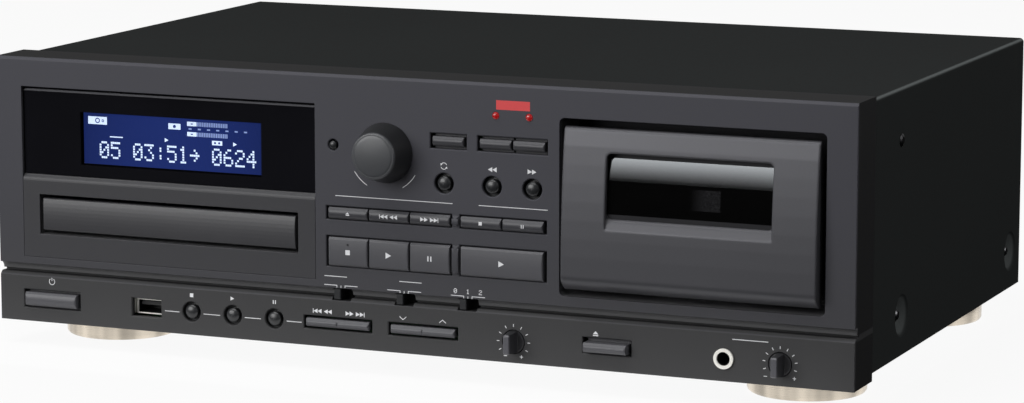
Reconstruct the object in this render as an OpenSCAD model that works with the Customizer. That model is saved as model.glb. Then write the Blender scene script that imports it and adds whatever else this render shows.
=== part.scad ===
/* [Cabinet] */
// Width of the front panel
panel_w = 435; // [430:1:450]
// Height of the front panel
panel_h = 129; // [127:1:140]
// Depth from the front face to the back of the cover
body_d = 274; // [264:1:310]
// Wall of the moulded front panel
panel_t = 2.8; // [2.4:0.1:3.2]
// Wall of the panel's sides
side_t = 2.5; // [2:0.1:3]
// Depth of the panel's side and top returns
return_d = 26; // [24:1:32]
// Depth of the panel's sill under the chassis
sill_d = 20; // [14:1:22]
// Chamfer along the panel's top edge
panel_edge = 1.3; // [0.6:0.1:2]
// Sheet thickness of the top cover
cover_t = 1; // [0.8:0.1:1.4]
// Step in from the panel to the cover
cover_step = 1.3; // [0.8:0.1:2]
// Outer bend radius along the cover's top edges
cover_bend = 2; // [1.6:0.1:4]
// Height of the lip that the cover folds down over the back
cover_lip = 10; // [6:1:14]
// Sheet thickness of the chassis
pan_t = 1.2; // [0.8:0.1:1.6]
// Height of the chassis side flanges above its base
flange_h = 32; // [28:1:40]

/* [Cover screws] */
// Rim radius of the pressed dishes in the cover's sides
dish_r = 10; // [8:0.5:12]
// Floor radius of the pressed dishes
dish_floor_r = 4.5; // [4:0.1:6]
// Depth of the pressed dishes
dish_d = 3.5; // [2.5:0.1:4]
// Height of the dishes above the bottom edge
dish_z = 21.5; // [18:0.5:24]
// Front face to the front dishes
dish_front_y = 73.5; // [60:0.5:90]
// Distance from the cover's back edge to the rear dishes
dish_rear_in = 17.5; // [14:0.5:30]
// Front face to the small upper screw
upper_screw_y = 69; // [50:1:90]
// Height of the small upper screw
upper_screw_z = 103.5; // [90:0.5:115]
// Radius of a screw head
screw_head_r = 3; // [2.5:0.1:3.4]
// Height of a screw head
screw_head_h = 1.8; // [1.4:0.1:2.4]
// Height of the low head of the upper screw
upper_head_h = 0.9; // [0.5:0.1:1.1]
// Radius of a screw shank
screw_r = 1.5; // [1.2:0.1:1.8]
// Length of a screw shank
screw_l = 6; // [4:0.5:8]

/* [Groove] */
// Height of the panel's lower face
groove_z = 22.2; // [21:0.1:23]
// Height of the groove's lip
groove_lip_z = 25; // [24.6:0.1:26]
// Depth of the lip and radius of the cove above it
groove_lip_d = 3.4; // [2.6:0.1:3.8]
// Depth of the slot under the lip
groove_d = 5.6; // [4.6:0.1:6]
// Height of the slot under the lip
groove_slot = 1.2; // [0.8:0.1:1.6]

/* [Feet] */
// Height of the panel's bottom edge above the floor
foot_gap = 12; // [10:0.5:18]
// Radius of a foot
foot_r = 27.6; // [22:0.1:28]
// Distance of the feet from the middle plane
foot_x = 178.5; // [160:0.5:180]
// Front face to the front feet
foot_front_y = 51; // [50:1:70]
// Front face to the rear feet
foot_rear_y = 239; // [200:1:240]
// Rounding of a foot's bottom edge
foot_round = 2; // [1:0.1:3]

/* [Disc insert] */
// Middle of the disc insert across the panel
insert_x = -125.4; // [-126:0.1:-125]
// Width of the insert's opening
insert_w = 157.2; // [154:0.1:158]
// Bottom of the insert's opening
insert_z0 = 31.8; // [31.6:0.1:34]
// Top of the insert's opening
insert_z1 = 114.9; // [113:0.1:116]
// Gap round the insert's pieces
insert_gap = 0.2; // [0.1:0.05:0.3]
// How far the insert's pieces reach behind the panel
insert_lap = 2.6; // [1.6:0.1:3]
// Height of the top of the disc bezel
bezel_z = 72.3; // [70:0.1:74]
// Rounding of the bezel's top edge
bezel_r = 3; // [1.5:0.1:4]
// Depth of the bezel's walls round the tray
bezel_d = 10; // [8:0.5:13]
// Depth of the display window's face behind the face
window_in = 1.6; // [1:0.1:2]
// Thickness of the display window behind the panel
window_lap_t = 1.3; // [1:0.1:2]
// Gap above the display window's face
window_top_gap = 1.4; // [0.8:0.1:2]
// Width of the display module
lcd_w = 107; // [100:0.5:115]
// Height of the display module
lcd_h = 31; // [28:0.5:32]
// Depth of the display module
lcd_d = 6.5; // [5:0.1:8]
// Height of the middle of the display
lcd_z = 90.9; // [90:0.1:92]

/* [Disc tray] */
// Width of the tray's front plate
tray_front_w = 135.6; // [130:0.1:138]
// Bottom of the tray's front plate
tray_front_z0 = 45.2; // [44.9:0.1:45.6]
// Top of the tray's front plate
tray_front_z1 = 60.9; // [58:0.1:62]
// Bulge of the tray front's face
tray_crown = 0.5; // [0.2:0.1:0.8]
// Rounding of the tray front's edges
tray_round = 0.5; // [0.3:0.1:0.8]
// Thickness of the tray's front plate
tray_front_t = 4; // [3:0.1:5]
// Gap beside the tray's front plate
tray_side_gap = 1.7; // [0.8:0.1:2]
// Gap below the tray's front plate
tray_low_gap = 1.9; // [1.4:0.1:2.2]
// Gap above the tray's front plate
tray_top_gap = 1.9; // [0.8:0.1:2.2]
// Width of the tray
tray_w = 128; // [126:0.5:130]
// Thickness of the tray
tray_t = 4.5; // [4:0.1:5]
// Front face to the tray's back edge
tray_back_y = 185; // [180:1:195]
// Front face to the disc's middle when closed
disc_y = 78; // [76:0.5:82]
// Radius of the well for a full-size disc
well_r = 60.75; // [60.5:0.05:61]
// Depth of the well for a full-size disc
well_depth = 2.2; // [1.8:0.1:2.4]
// Radius of the well for a small disc
small_well_r = 40.5; // [40.3:0.05:41]
// Further depth of the well for a small disc
small_well_depth = 1; // [0.6:0.1:1.2]
// Half width of the slot for the turntable
tray_slot = 20; // [18:0.5:24]
// Height of the rack under the tray
rack_h = 2.6; // [2:0.1:2.8]
// Tooth module of the rack and pinion
tooth_m = 1; // [0.8:0.1:1.2]
// Teeth of the loader pinion
pinion_teeth = 20; // [16:4:24]
// Backlash between rack and pinion
backlash = 0.2; // [0.15:0.05:0.3]
// Front face to the pinion's axis
pinion_y = 34; // [32:0.5:40]
// Travel of the tray
tray_travel = 142; // [135:1:143]

/* [Disc loader] */
// Wall of the loader frame
loader_t = 2.6; // [2:0.1:3]
// Height of the top of the loader frame's base
loader_z = 36; // [34:0.5:37]
// Thickness of the loader frame's base
loader_base_t = 3; // [2:0.1:4]
// Front face to the loader frame
loader_y = 22; // [20:0.5:24]
// Overlap of the rails with the tray's edges
rail_lap = 3; // [2:0.1:3.2]
// Radius of the frame's posts
post_r = 4; // [3:0.1:5]
// Radius of the pinion's pin
pinion_pin_r = 2.5; // [2:0.1:3]
// Radius of the turntable
turntable_r = 14; // [12:0.5:15]
// Radius of the turntable's centring hub
hub_r = 7.4; // [7.2:0.05:7.45]
// Radius of the disc motor
disc_motor_r = 12; // [10:0.5:13]
// Height of the disc motor
disc_motor_h = 6; // [5:0.5:7]
// Radius of the disc motor's shaft
disc_shaft_r = 1; // [0.8:0.1:1.5]
// Radius of the pickup's guide rods
guide_r = 1.5; // [1.2:0.1:2]
// Half distance between the pickup's guide rods
guide_x = 22; // [20:0.5:24]
// Length of the pickup's body
pickup_l = 26; // [22:0.5:28]
// Travel of the pickup
pickup_travel = 34; // [30:0.5:36]

/* [Cassette well] */
// Middle of the cassette well across the panel
door_x = 139.9; // [138:0.1:141]
// Width of the well's opening
well_w = 127.2; // [126:0.1:130]
// Bottom of the well's opening
well_z0 = 33; // [32.4:0.1:34]
// Top of the well's opening
well_z1 = 115; // [114:0.1:118]
// Corner radius of the well's opening
well_corner = 2.5; // [1.5:0.1:4]
// Depth of the well, up to the transport plate
well_d = 24; // [23.5:0.1:26]
// Wall of the well
well_t = 2; // [1.6:0.1:2.4]

/* [Cassette door] */
// Width of the cassette door
door_w = 121.6; // [118:0.1:122]
// Bottom of the cassette door
door_z0 = 36.6; // [36.2:0.1:37]
// Top of the cassette door
door_z1 = 111.3; // [110:0.1:112]
// How far the door's top stands out
door_top_out = 0.6; // [0.2:0.1:1.4]
// How far the door's crease stands out
door_crease_out = 5.2; // [3:0.1:6]
// Height of the door's crease
door_crease_z = 44; // [42:0.1:46]
// Rounding of the door's top edge
door_top_r = 2; // [1:0.1:2.2]
// Skin of the door, front to back
door_t = 2.4; // [2.2:0.1:3]
// Depth of the door's back edges behind the face
door_back = 3; // [2.6:0.1:3.2]
// Front face to the door's hinge axis
hinge_y = 4; // [3.6:0.1:5]
// Height of the door's hinge axis
hinge_z = 38.6; // [38.4:0.1:40]
// Reach of the door's hinge pins past its sides
hinge_pin_l = 4; // [3.6:0.1:4.4]
// Radius of the door's hinge pins
hinge_r = 1.5; // [1.2:0.1:1.8]
// Width of the window opening in the door
pane_w = 79.5; // [76:0.1:84]
// Bottom of the window opening at the door's face
pane_z0 = 65.5; // [63:0.1:68]
// Top of the window opening
pane_z1 = 100.4; // [98:0.1:102]
// Rise of the sloped sill of the window opening
pane_sill = 5; // [4:0.1:6]
// Corner radius of the window opening
pane_corner = 2.5; // [1.5:0.1:4]
// Thickness of the clear pane
pane_t = 1.5; // [1:0.1:1.8]
// Height where the pane starts to curve back
pane_bend_z = 88; // [86:0.1:92]

/* [Cassette] */
// Width of the cassette that the holder takes
tape_w = 100.4; // [100.2:0.1:100.6]
// Thickness of the cassette's edges
tape_t = 8.7; // [8.5:0.1:9]
// Distance between the cassette's hubs
hub_pitch = 42.5; // [42.3:0.1:42.7]
// Height of the cassette's bottom edge in the holder
tape_z = 46; // [45.5:0.1:48]
// Height of the cassette's hubs above its bottom edge
tape_hub_h = 34; // [32:0.5:36]
// Play between cassette and holder, each side
tape_play = 0.4; // [0.2:0.1:0.6]
// Wall of the cassette holder
holder_t = 1.5; // [1.2:0.1:2]
// Height of the top of the cassette holder
holder_z1 = 104; // [100:0.5:106]
// Width of the holder's lips behind the cassette
holder_lip = 5; // [3:0.5:7]

/* [Tape transport] */
// Sheet thickness of the transport plate
mech_t = 1.5; // [1.2:0.1:2]
// How far the transport plate reaches past the well's walls
mech_lap = 1; // [0.5:0.1:2]
// Radius of a reel table
reel_r = 11; // [9:0.5:13]
// Radius of a reel's spindle
spindle_r = 4.2; // [4:0.1:4.4]
// Reach of the splines beyond the spindle
spline_h = 0.7; // [0.5:0.1:0.8]
// Radius of a reel's shaft
reel_shaft_r = 2; // [1.6:0.1:2.4]
// Wall of the bushes on the transport plate
bush_t = 2.2; // [1.6:0.1:2.6]
// Distance of the capstan from the well's middle
capstan_x = 17; // [16:0.5:18]
// Height of the capstan above the cassette's bottom edge
capstan_h = 8; // [7.5:0.1:9]
// Radius of the capstan
capstan_r = 1.5; // [1.2:0.1:1.6]
// Radius of the flywheel
flywheel_r = 24; // [20:0.5:25]
// Thickness of the flywheel
flywheel_t = 6; // [4:0.5:8]
// Radius of the pinch roller
roller_r = 6; // [5:0.1:6.2]
// Drop of the resting pinch roller below the capstan
roller_drop = 10; // [9.8:0.1:11]
// Distance between the pinch roller and its arm's pivot
arm_l = 16; // [15.5:0.5:18]
// Radius of the arm's pivot pin
arm_pin_r = 2; // [1.5:0.1:2.5]
// Width of the tape head
head_w = 14; // [12:0.5:15]
// Travel of the head block
head_travel = 5; // [4:0.5:5.5]
// Half width of the head block's slide
slide_w = 26; // [25:0.5:26]
// Radius of the capstan motor
tape_motor_r = 18; // [15:0.5:18]
// Length of the capstan motor
tape_motor_l = 28; // [22:0.5:34]
// Distance of the capstan motor from the well's middle
tape_motor_x = 34.5; // [34:0.1:40]
// Radius and length of the capstan motor's rear bearing
motor_boss = 4; // [3:0.5:6]

/* [Transport keys] */
// Width of a transport key
key_w = 20.2; // [19:0.1:20.4]
// Gap between neighbouring keys
key_gap = 0.7; // [0.5:0.05:0.9]
// Width of the fixed blanks between disc and tape keys
blank_w = 4; // [3:0.1:5]
// Left edge of the key rows
row_x0 = -39.8; // [-40:0.1:-39]
// Gap at the outer ends of the key rows
row_end_gap = 1.4; // [0.8:0.1:1.6]
// Height of the middle of the thin row
thin_z = 64; // [63:0.1:65]
// Height of a thin key
thin_h = 5.3; // [4.6:0.1:5.8]
// Height of the middle of the tall row
tall_z = 45.8; // [45:0.1:46.4]
// Height of a tall key
tall_h = 13.5; // [12:0.1:14]
// Gap above and below a transport key
key_slot_gap = 0.5; // [0.4:0.05:0.8]
// How far the transport keys stand out
key_out = 1.3; // [0.8:0.1:2]
// Bulge of a low key's face
key_crown = 0.5; // [0.4:0.1:1]
// Bulge of a tall key's face
tall_crown = 0.3; // [0.2:0.1:0.6]
// Rounding of the keys' front edges
key_round = 0.9; // [0.4:0.1:1]
// Bevel round the key openings
slot_bevel = 0.4; // [0.2:0.1:0.5]
// Travel of an electric key
key_travel = 0.8; // [0.5:0.1:1]
// Reach of a key's flange behind the panel
key_lap = 1.2; // [0.8:0.1:1.4]
// Radius of a key's stem
key_stem_r = 1.6; // [1.2:0.1:2]
// Thickness of a key's flange
key_flange_t = 1.5; // [1.2:0.1:2]

/* [Upper keys] */
// Width of an upper key
upper_w = 15.6; // [14:0.1:16]
// Height of an upper key
upper_h = 4.4; // [3.8:0.1:5]
// Height of the middle of the upper keys
upper_z = 100.9; // [100:0.1:102]
// Gap beside an upper key
upper_gap_x = 1.25; // [0.8:0.05:1.4]
// Gap above and below an upper key
upper_gap_z = 1.35; // [0.8:0.05:1.5]
// How far the upper keys stand out
upper_out = 1; // [0.6:0.1:2]
// Middle of the source key
source_x = 21.25; // [20:0.05:22]
// Middle of the pair of record keys
record_x = 53.2; // [52:0.1:54]
// Gap between the record keys
record_gap = 1; // [0.8:0.1:1.4]
// Height of the record lamps
lamp_z = 114.2; // [112:0.1:116]
// Radius of a record lamp
lamp_r = 1.7; // [1.4:0.1:2]
// Distance between the record lamps
lamp_pitch = 16.5; // [14:0.1:18]

/* [Round buttons] */
// Radius of a round button's hole
round_hole_r = 4.8; // [4.4:0.1:5]
// Radius of a round button
round_r = 3.3; // [3:0.1:3.6]
// How far the round buttons stand out
round_out = 1; // [0.6:0.1:1.6]
// Height of the tape winding buttons
round_z = 81.3; // [80.5:0.1:82]
// Place of the repeat button across
repeat_x = 19; // [18:0.1:20]
// Place of the rewind button across
rewind_x = 43; // [42:0.1:44]
// Place of the fast-forward button across
forward_x = 63; // [62:0.1:63]
// Place of the reset button across
reset_x = -37.4; // [-38:0.1:-37]
// Height of the reset button
reset_z = 96; // [95:0.1:97]
// Radius of the reset button's hole
reset_hole_r = 2.6; // [2.4:0.1:3]
// Radius of the reset button
reset_r = 1.8; // [1.6:0.1:2]

/* [Knobs] */
// How far the record level knob stands out
knob_h = 13; // [11:0.5:16]
// Radius of the record level knob at the panel
knob_base_r = 14.1; // [13:0.1:15]
// Radius of the record level knob's face
knob_face_r = 10.9; // [10:0.1:12.5]
// Rounding of the record level knob's face
knob_round = 0.8; // [0.5:0.1:1.5]
// Place of the record level knob across
knob_x = -11; // [-13:0.1:-10]
// Height of the record level knob
knob_z = 93.8; // [92:0.1:95]
// Radius of the knobs' shafts
shaft_r = 3; // [2.5:0.1:3.2]
// Radius of the small knobs
small_knob_r = 5.2; // [4.8:0.1:5.4]
// Gap round the small knobs
small_knob_gap = 0.5; // [0.3:0.1:0.6]
// How far the small knobs' grips stand out
small_knob_h = 9; // [6:0.5:10]
// Thickness of the small knobs' grips at the tip
grip_tip = 2.6; // [2:0.1:3]
// Thickness of the small knobs' grips at the foot
grip_foot = 4; // [3:0.1:5]
// Height of the small knobs
small_knob_z = 9.9; // [9.6:0.1:10.4]
// Place of the pitch knob across
pitch_x = 53.7; // [52:0.1:56]
// Place of the mic level knob across
mic_level_x = 182.8; // [180:0.1:184]

/* [Lower controls] */
// Height of the middle of the lower keys
low_z = 11.2; // [10.8:0.1:11.4]
// Width of the power key
power_w = 28; // [24:0.1:29]
// Height of the power key
power_h = 6.6; // [6:0.1:7]
// How far the power key stands out
power_out = 2.3; // [1:0.1:4]
// Place of the power key across
power_x = -189; // [-192:0.1:-186]
// Travel of the power key
power_travel = 2; // [1:0.1:2.2]
// Width of the eject key
eject_w = 20.8; // [18:0.1:22]
// Height of the eject key
eject_h = 4.4; // [4:0.1:4.8]
// Drop of the eject key in its opening
eject_drop = 0.4; // [0:0.1:0.6]
// How far the eject key stands out
eject_out = 4.2; // [2:0.1:5]
// Place of the eject key across
eject_x = 99.8; // [98:0.1:102]
// Travel of the eject key
eject_travel = 3; // [2:0.1:3.5]
// Gap beside the power and eject keys
low_gap_x = 1.4; // [0.8:0.1:1.8]
// Gap above and below the power and eject keys
low_gap_z = 1.1; // [0.6:0.1:1.3]
// Width of a rocker
rocker_w = 32.4; // [28:0.1:33]
// Height of a rocker
rocker_h = 4; // [3.4:0.1:4.4]
// Gap beside a rocker
rocker_gap_x = 1.45; // [1.2:0.05:1.6]
// Gap above and below a rocker
rocker_gap_z = 1.1; // [0.6:0.1:1.3]
// How far the rockers stand out
rocker_out = 1.4; // [1:0.1:2]
// Width of the notch in the middle of a rocker
rocker_notch = 0.8; // [0.5:0.1:1.2]
// Place of the skip rocker across
skip_x = -35.65; // [-36:0.05:-35]
// Place of the folder rocker across
folder_x = 8.15; // [7.5:0.05:9]
// Half width of a rocker's hub
rocker_hub = 2.5; // [2.2:0.1:3]
// Radius of a rocker's pivot pin
rocker_pin_r = 1.2; // [1:0.1:1.4]
// Place of the first USB button across
usb_button_x = -113; // [-114:0.1:-112]
// Distance between the USB buttons
usb_button_pitch = 22; // [21:0.1:22.5]
// Place of the USB socket across
usb_x = -137.3; // [-139:0.1:-136]
// Width of the USB socket's shell
usb_w = 14.2; // [13.6:0.1:14.6]
// Height of the USB socket's shell
usb_h = 7.2; // [6.8:0.1:7.4]
// Depth of the USB socket
usb_d = 15; // [12:0.5:17]
// Wall of the USB socket's shell
usb_t = 0.5; // [0.4:0.1:0.7]
// Depth of the USB socket's mouth behind the face
usb_in = 4; // [3.4:0.1:4.4]
// Gap round the USB socket's shell
usb_gap = 0.8; // [0.5:0.1:1]
// Place of the mic jack across
jack_x = 156.2; // [154:0.1:160]
// Height of the mic jack
jack_z = 10.4; // [10:0.1:11]
// Radius of the jack's bore
jack_bore_r = 3.2; // [3.18:0.01:3.25]
// Depth of the jack's bore
jack_depth = 18; // [15:0.5:20]
// Width and height of the jack's body
jack_body = 12; // [11:0.1:12]
// Radius of the jack's front ring
jack_ring_r = 4.7; // [4.6:0.1:5.2]
// Thickness of the jack's front ring
jack_ring_t = 1; // [0.6:0.1:1.4]

/* [Slide switches] */
// Place of the middle slide switch across
switch_mid_x = -1.8; // [-4:0.1:0]
// Distance between the slide switches
switch_pitch = 32.1; // [28:0.1:33]
// Width of a switch's knob
switch_w = 3.4; // [3:0.1:3.8]
// Height of a switch's knob
switch_h = 5.2; // [4.8:0.1:5.2]
// Travel of a slide switch
switch_travel = 4.2; // [3.6:0.1:4.6]
// Gap at the ends of a switch's slot
switch_end_gap = 1; // [0.6:0.1:1.2]
// Depth of a switch's knob behind the face
switch_in = 0.3; // [0.1:0.1:1]
// Width of a switch's slider behind the panel
slider_w = 8; // [6:0.1:8.4]
// Height of a switch's slider
slider_h = 6.4; // [5:0.1:7]
// Thickness of a switch's slider
slider_t = 1.5; // [1:0.1:1.8]

/* [Back] */
// How far the line sockets stand out behind the cover
socket_out = 6; // [5:0.5:8]
// Outer radius of a line socket's shell
socket_r = 4.15; // [4.1:0.05:4.2]
// Distance between neighbouring line sockets
socket_pitch = 14; // [13:0.5:18]
// Rim of the line sockets' plate round the shells
socket_rim = 3; // [2:0.1:4]
// Depth of the line sockets' body inside the back wall
socket_body_d = 14; // [10:0.5:18]
// Radius of the hole in a line socket
socket_hole_r = 1.6; // [1.5:0.1:1.8]
// Place of the line sockets across the back
socket_x = -140; // [-160:1:-120]
// Height of the middle of the line sockets
socket_z = 40; // [34:1:60]
// Place of the mains inlet across the back
inlet_x = 170; // [150:1:180]
// Height of the mains inlet
inlet_z = 30; // [26:1:40]
// Width of the mains inlet's cavity
inlet_w = 18; // [17:0.5:19]
// Height of the mains inlet's cavity
inlet_h = 9; // [8.5:0.5:10]
// Depth of the mains inlet's cavity
inlet_d = 9; // [8:0.5:12]
// Rim of the mains inlet round its cavity
inlet_rim = 5; // [4:0.5:6]

/* [Boards] */
// Thickness of the circuit boards
board_t = 1.6; // [1.2:0.2:2]
// Front face to the control board
board_y = 14; // [13.8:0.1:15]
// Width of the control board's lower strip
board_w = 416; // [400:1:418]
// Height of the main board's spacers
spacer_h = 6; // [5:0.5:10]
// Width of the main board
main_board_w = 110; // [90:1:130]
// Depth of the main board
main_board_d = 150; // [120:1:160]
// Place of the main board's front edge
main_board_y = 60; // [50:1:70]
// Place of the main board's middle across the cabinet
main_board_x = 15; // [10:1:18]
// Radius of the smaller capacitor cans
can_r = 5; // [3:0.5:6]
// Height of the capacitor cans
can_h = 22; // [16:1:26]
// Distance of the capacitor cans from the main board's back edge
can_back = 20; // [16:1:22]
// Width of a chip on the main board
chip_w = 18; // [12:1:20]
// Height of a chip above the main board's underside
chip_t = 3.5; // [3:0.1:5]
// Distance of the heat sink from the main board's edge
sink_in = 18; // [14:1:24]
// Thickness of the heat sink
sink_t = 4; // [3:0.5:8]
// Height of the heat sink
sink_h = 30; // [20:1:34]
// Width of the transformer's core
core_w = 60; // [50:1:66]
// Depth of the transformer's core
core_d = 34; // [26:1:40]
// Height of the transformer's core
core_h = 50; // [40:1:56]
// Distance of the transformer from the mains inlet
core_in = 40; // [36:1:60]
// Distance of the transformer's middle from the back wall
core_back = 60; // [50:1:80]

/* [Clearances] */
// Radial clearance of shafts in their bores
run_fit = 0.05; // [0.03:0.01:0.08]
// Clearance between sliding or swinging pieces
slide_gap = 0.3; // [0.25:0.05:0.35]

/* [Hidden] */
$fn = 48;
arc_n = 6;
tooth_n = 4;

overall_d = knob_h + body_d + socket_out;
face_y = knob_h - overall_d / 2;
panel_z = foot_gap;

pan_z = panel_t;
deck_z = pan_z + pan_t;
cover_x = panel_w / 2 - cover_step;
cover_top = panel_h - cover_step;
flange_x = cover_x - cover_t - dish_d;
back_y = body_d - cover_t;
dish_rear_y = body_d - dish_rear_in;

slot_z0 = groove_lip_z - groove_slot;
slope_d = slot_z0 - groove_z;
bump_y = groove_d + panel_t;
bump_low = groove_z - panel_t - slope_d;
bump_high = groove_lip_z + groove_lip_d + panel_t;

bezel_x0 = insert_x - insert_w / 2 + insert_gap;
bezel_x1 = insert_x + insert_w / 2 - insert_gap;
bezel_z0 = insert_z0 + insert_gap;
tray_open_w = tray_front_w + 2 * tray_side_gap;
tray_open_z0 = tray_front_z0 - tray_low_gap;
tray_open_z1 = tray_front_z1 + tray_top_gap;
bezel_back = panel_t + 1.5;
window_back = panel_t + window_lap_t;

rack_z = tray_front_z0 + slide_gap - 0.6;
tray_z = rack_z + rack_h;
tray_top = tray_z + tray_t;
pinion_r = tooth_m * pinion_teeth / 2;
rack_root_x = insert_x - tray_w / 2 + rail_lap + 4;
pinion_x = rack_root_x + 1.25 * tooth_m + pinion_r;
rail_in = tray_w / 2 + slide_gap;
loader_w = rail_in + loader_t;
loader_back_y = tray_back_y + 5;
turntable_z = tray_z - 0.8;
turntable_t = tray_t - well_depth;
pickup_y0 = disc_y + turntable_r + 1;
pickup_z0 = loader_z + 1;
pickup_z1 = tray_z - 3;
guide_z = (pickup_z0 + pickup_z1) / 2;
guide_y0 = pickup_y0 - 4;
guide_y1 = pickup_y0 + pickup_l + pickup_travel + 4;

well_x0 = door_x - well_w / 2;
well_x1 = door_x + well_w / 2;
well_mid_z = (well_z0 + well_z1) / 2;
well_h = well_z1 - well_z0;
hub_z = tape_z + tape_hub_h;
holder_y0 = door_back;
pocket_y0 = holder_y0 + holder_t;
pocket_y1 = pocket_y0 + tape_t + 2 * tape_play;
pocket_w = tape_w + 2 * tape_play;
spindle_tip_y = pocket_y0 + 1;
reel_back_y = well_d - 3.5;
table_y = reel_back_y - 2.5;
bush_front_y = reel_back_y + slide_gap;
bush_back_y = well_d + mech_t + 5;
flywheel_y = bush_back_y + 1.5;
capstan_z = tape_z + capstan_h;
motor_y1 = well_d + mech_t + tape_motor_l;
roller_z = capstan_z - roller_drop;
arm_x = capstan_x + arm_l;
slide_front_y = well_d - slide_gap - 3;
slide_z0 = well_z0 + 0.8;
slide_z1 = tape_z - 4;
rib_w = 3;
lip_y1 = slide_front_y - slide_gap;
head_y0 = pocket_y0 + 3;
head_z1 = tape_z - 0.5;
head_z0 = slide_z1 - head_travel - 1;
roller_y0 = pocket_y0 + 3;
arm_y1 = slide_front_y - slide_gap - 1.5;
arm_y0 = arm_y1 - 2.5;

flange_y = panel_t + slide_gap;
key_back = flange_y + key_flange_t;
switch_body_h = 3.5;
stem_y = board_y - switch_body_h - key_travel - 0.1;
row_end = row_x0 + 5 * key_w + 3 * key_gap + blank_w + 2 * key_gap;
blank_x0 = row_x0 + 3 * (key_w + key_gap);
tape_key_x0 = blank_x0 + blank_w + key_gap;
slider_y0 = bump_y + slide_gap;
slider_y1 = slider_y0 + slider_t;
switch_x = [for (i = [-1:1]) switch_mid_x + i * switch_pitch];
switch_slot_w = switch_w + switch_travel + 2 * switch_end_gap;
switch_z = groove_lip_z + groove_lip_d - 0.5 - switch_h / 2;
rocker_pin_y = panel_t + 4;
pot_d = 7;
pot_y0 = board_y - pot_d;

// Points along an arc round c, from angle a0 to a1
function arc(c, r, a0, a1, n = arc_n) =
    [for (i = [0:n]) let (a = a0 + (a1 - a0) * i / n) c + r * [cos(a), sin(a)]];

// Rounded rectangle round the origin
function rounded(w, h, r) = concat(
    arc([w / 2 - r, h / 2 - r], r, 0, 90),
    arc([r - w / 2, h / 2 - r], r, 90, 180),
    arc([r - w / 2, r - h / 2], r, 180, 270),
    arc([w / 2 - r, r - h / 2], r, 270, 360));

// Section of a cap with rounded front corners: across, then front to back
function cap_section(w, y0, y1, r) = concat(
    [[-w / 2, y1]],
    arc([r - w / 2, y0 + r], r, 180, 270, 3),
    arc([w / 2 - r, y0 + r], r, 270, 360, 3),
    [[w / 2, y1]]);

// Section of a cap whose face bulges by c: up, then front to back
function crown_section(h, y0, y1, r, c) = concat(
    [[y1, -h / 2], [y0 + c + r, -h / 2]],
    [for (i = [-4:4]) [y0 + c * i * i / 16, (h / 2 - r) * i / 4]],
    [[y0 + c + r, h / 2], [y1, h / 2]]);

// Points on a quadratic curve from a to c, drawn towards b
function curve(a, b, c, n) =
    [for (i = [0:n]) let (t = i / n) (1 - t) * (1 - t) * a + 2 * t * (1 - t) * b + t * t * c];

// The points of a line in the other order
function reversed(v) = [for (i = [len(v) - 1:-1:0]) v[i]];

// Closed outline of a skin that lies t behind a face line
function skin(face, t) = concat(face, [for (p = reversed(face)) p + [t, 0]]);

// Hoop over the cabinet: half width, top, bottom and corner radius
function hoop(half, top, low, r) = concat(
    [[half, low]],
    arc([half - r, top - r], r, 0, 90),
    arc([r - half, top - r], r, 90, 180),
    [[-half, low]]);

// Left edge of the i-th key of a row, counting past the fixed blank
function key_x(i) = i < 3 ? row_x0 + i * (key_w + key_gap) : tape_key_x0 + (i - 3) * (key_w + key_gap);

// Middle of the first or second record key
function record_key_x(i) = record_x + (i - 0.5) * (upper_w + record_gap);

// Middle of the i-th USB button
function usb_key_x(i) = usb_button_x + i * usb_button_pitch;

// Puts children in the panel's frame: x across, y into the cabinet, z up from the panel's bottom edge
module at_face() translate([0, face_y, panel_z]) children();

// Block between two corners
module block(a, b) translate(a) cube(b - a);

// Prism of an outline in x and z, from y0 back to y1
module slab(pts, y0, y1) translate([0, y1, 0]) rotate([90, 0, 0]) linear_extrude(y1 - y0) polygon(pts);

// Prism of an outline in y and z, from x0 to x1
module bar(pts, x0, x1) translate([x0, 0, 0]) rotate([90, 0, 90]) linear_extrude(x1 - x0) polygon(pts);

// The same piece on both sides of the middle plane
module both_sides() for (s = [0, 1]) mirror([s, 0, 0]) children();

// Round rods along each axis
module rod_x(y, z, r, x0, x1) translate([x0, y, z]) rotate([0, 90, 0]) cylinder(r = r, h = x1 - x0);
module rod_y(x, z, r, y0, y1) translate([x, y0, z]) rotate([-90, 0, 0]) cylinder(r = r, h = y1 - y0);
module rod_z(x, y, r, z0, z1) translate([x, y, z0]) cylinder(r = r, h = z1 - z0);

// Turned piece round an axis along y, from points of radius and depth
module turned(x, z, pts) translate([x, 0, z]) rotate([-90, 0, 0]) rotate_extrude() polygon(pts);

// Key cap with rounded sides and a face that bulges by c
module cap(x, z, w, h, y0, y1, r, c = 0) translate([x, 0, z]) intersection() {
    translate([0, 0, -h]) linear_extrude(2 * h) polygon(cap_section(w, y0, y1, r));
    bar(crown_section(h, y0, y1, r, c), -w, w);
}

// Bevelled opening cut through the panel's wall
module slot_cut(x, z, w, h) translate([x, 0, z]) {
    flare = slot_bevel + 1;
    block([-w / 2, -1, -h / 2], [w / 2, panel_t + 1, h / 2]);
    intersection() {
        translate([0, 0, -h]) linear_extrude(2 * h) polygon([[-w / 2 - flare, -1], [w / 2 + flare, -1],
            [w / 2, slot_bevel], [-w / 2, slot_bevel]]);
        rotate([90, 0, 90]) translate([0, 0, -w]) linear_extrude(2 * w) polygon([[-1, -h / 2 - flare],
            [-1, h / 2 + flare], [slot_bevel, h / 2], [slot_bevel, -h / 2]]);
    }
}

// Bevelled round hole through the panel's wall
module hole_cut(x, z, r) turned(x, z, [[0, -1], [r + slot_bevel + 1, -1], [r, slot_bevel],
    [r, panel_t + 1], [0, panel_t + 1]]);

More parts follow.
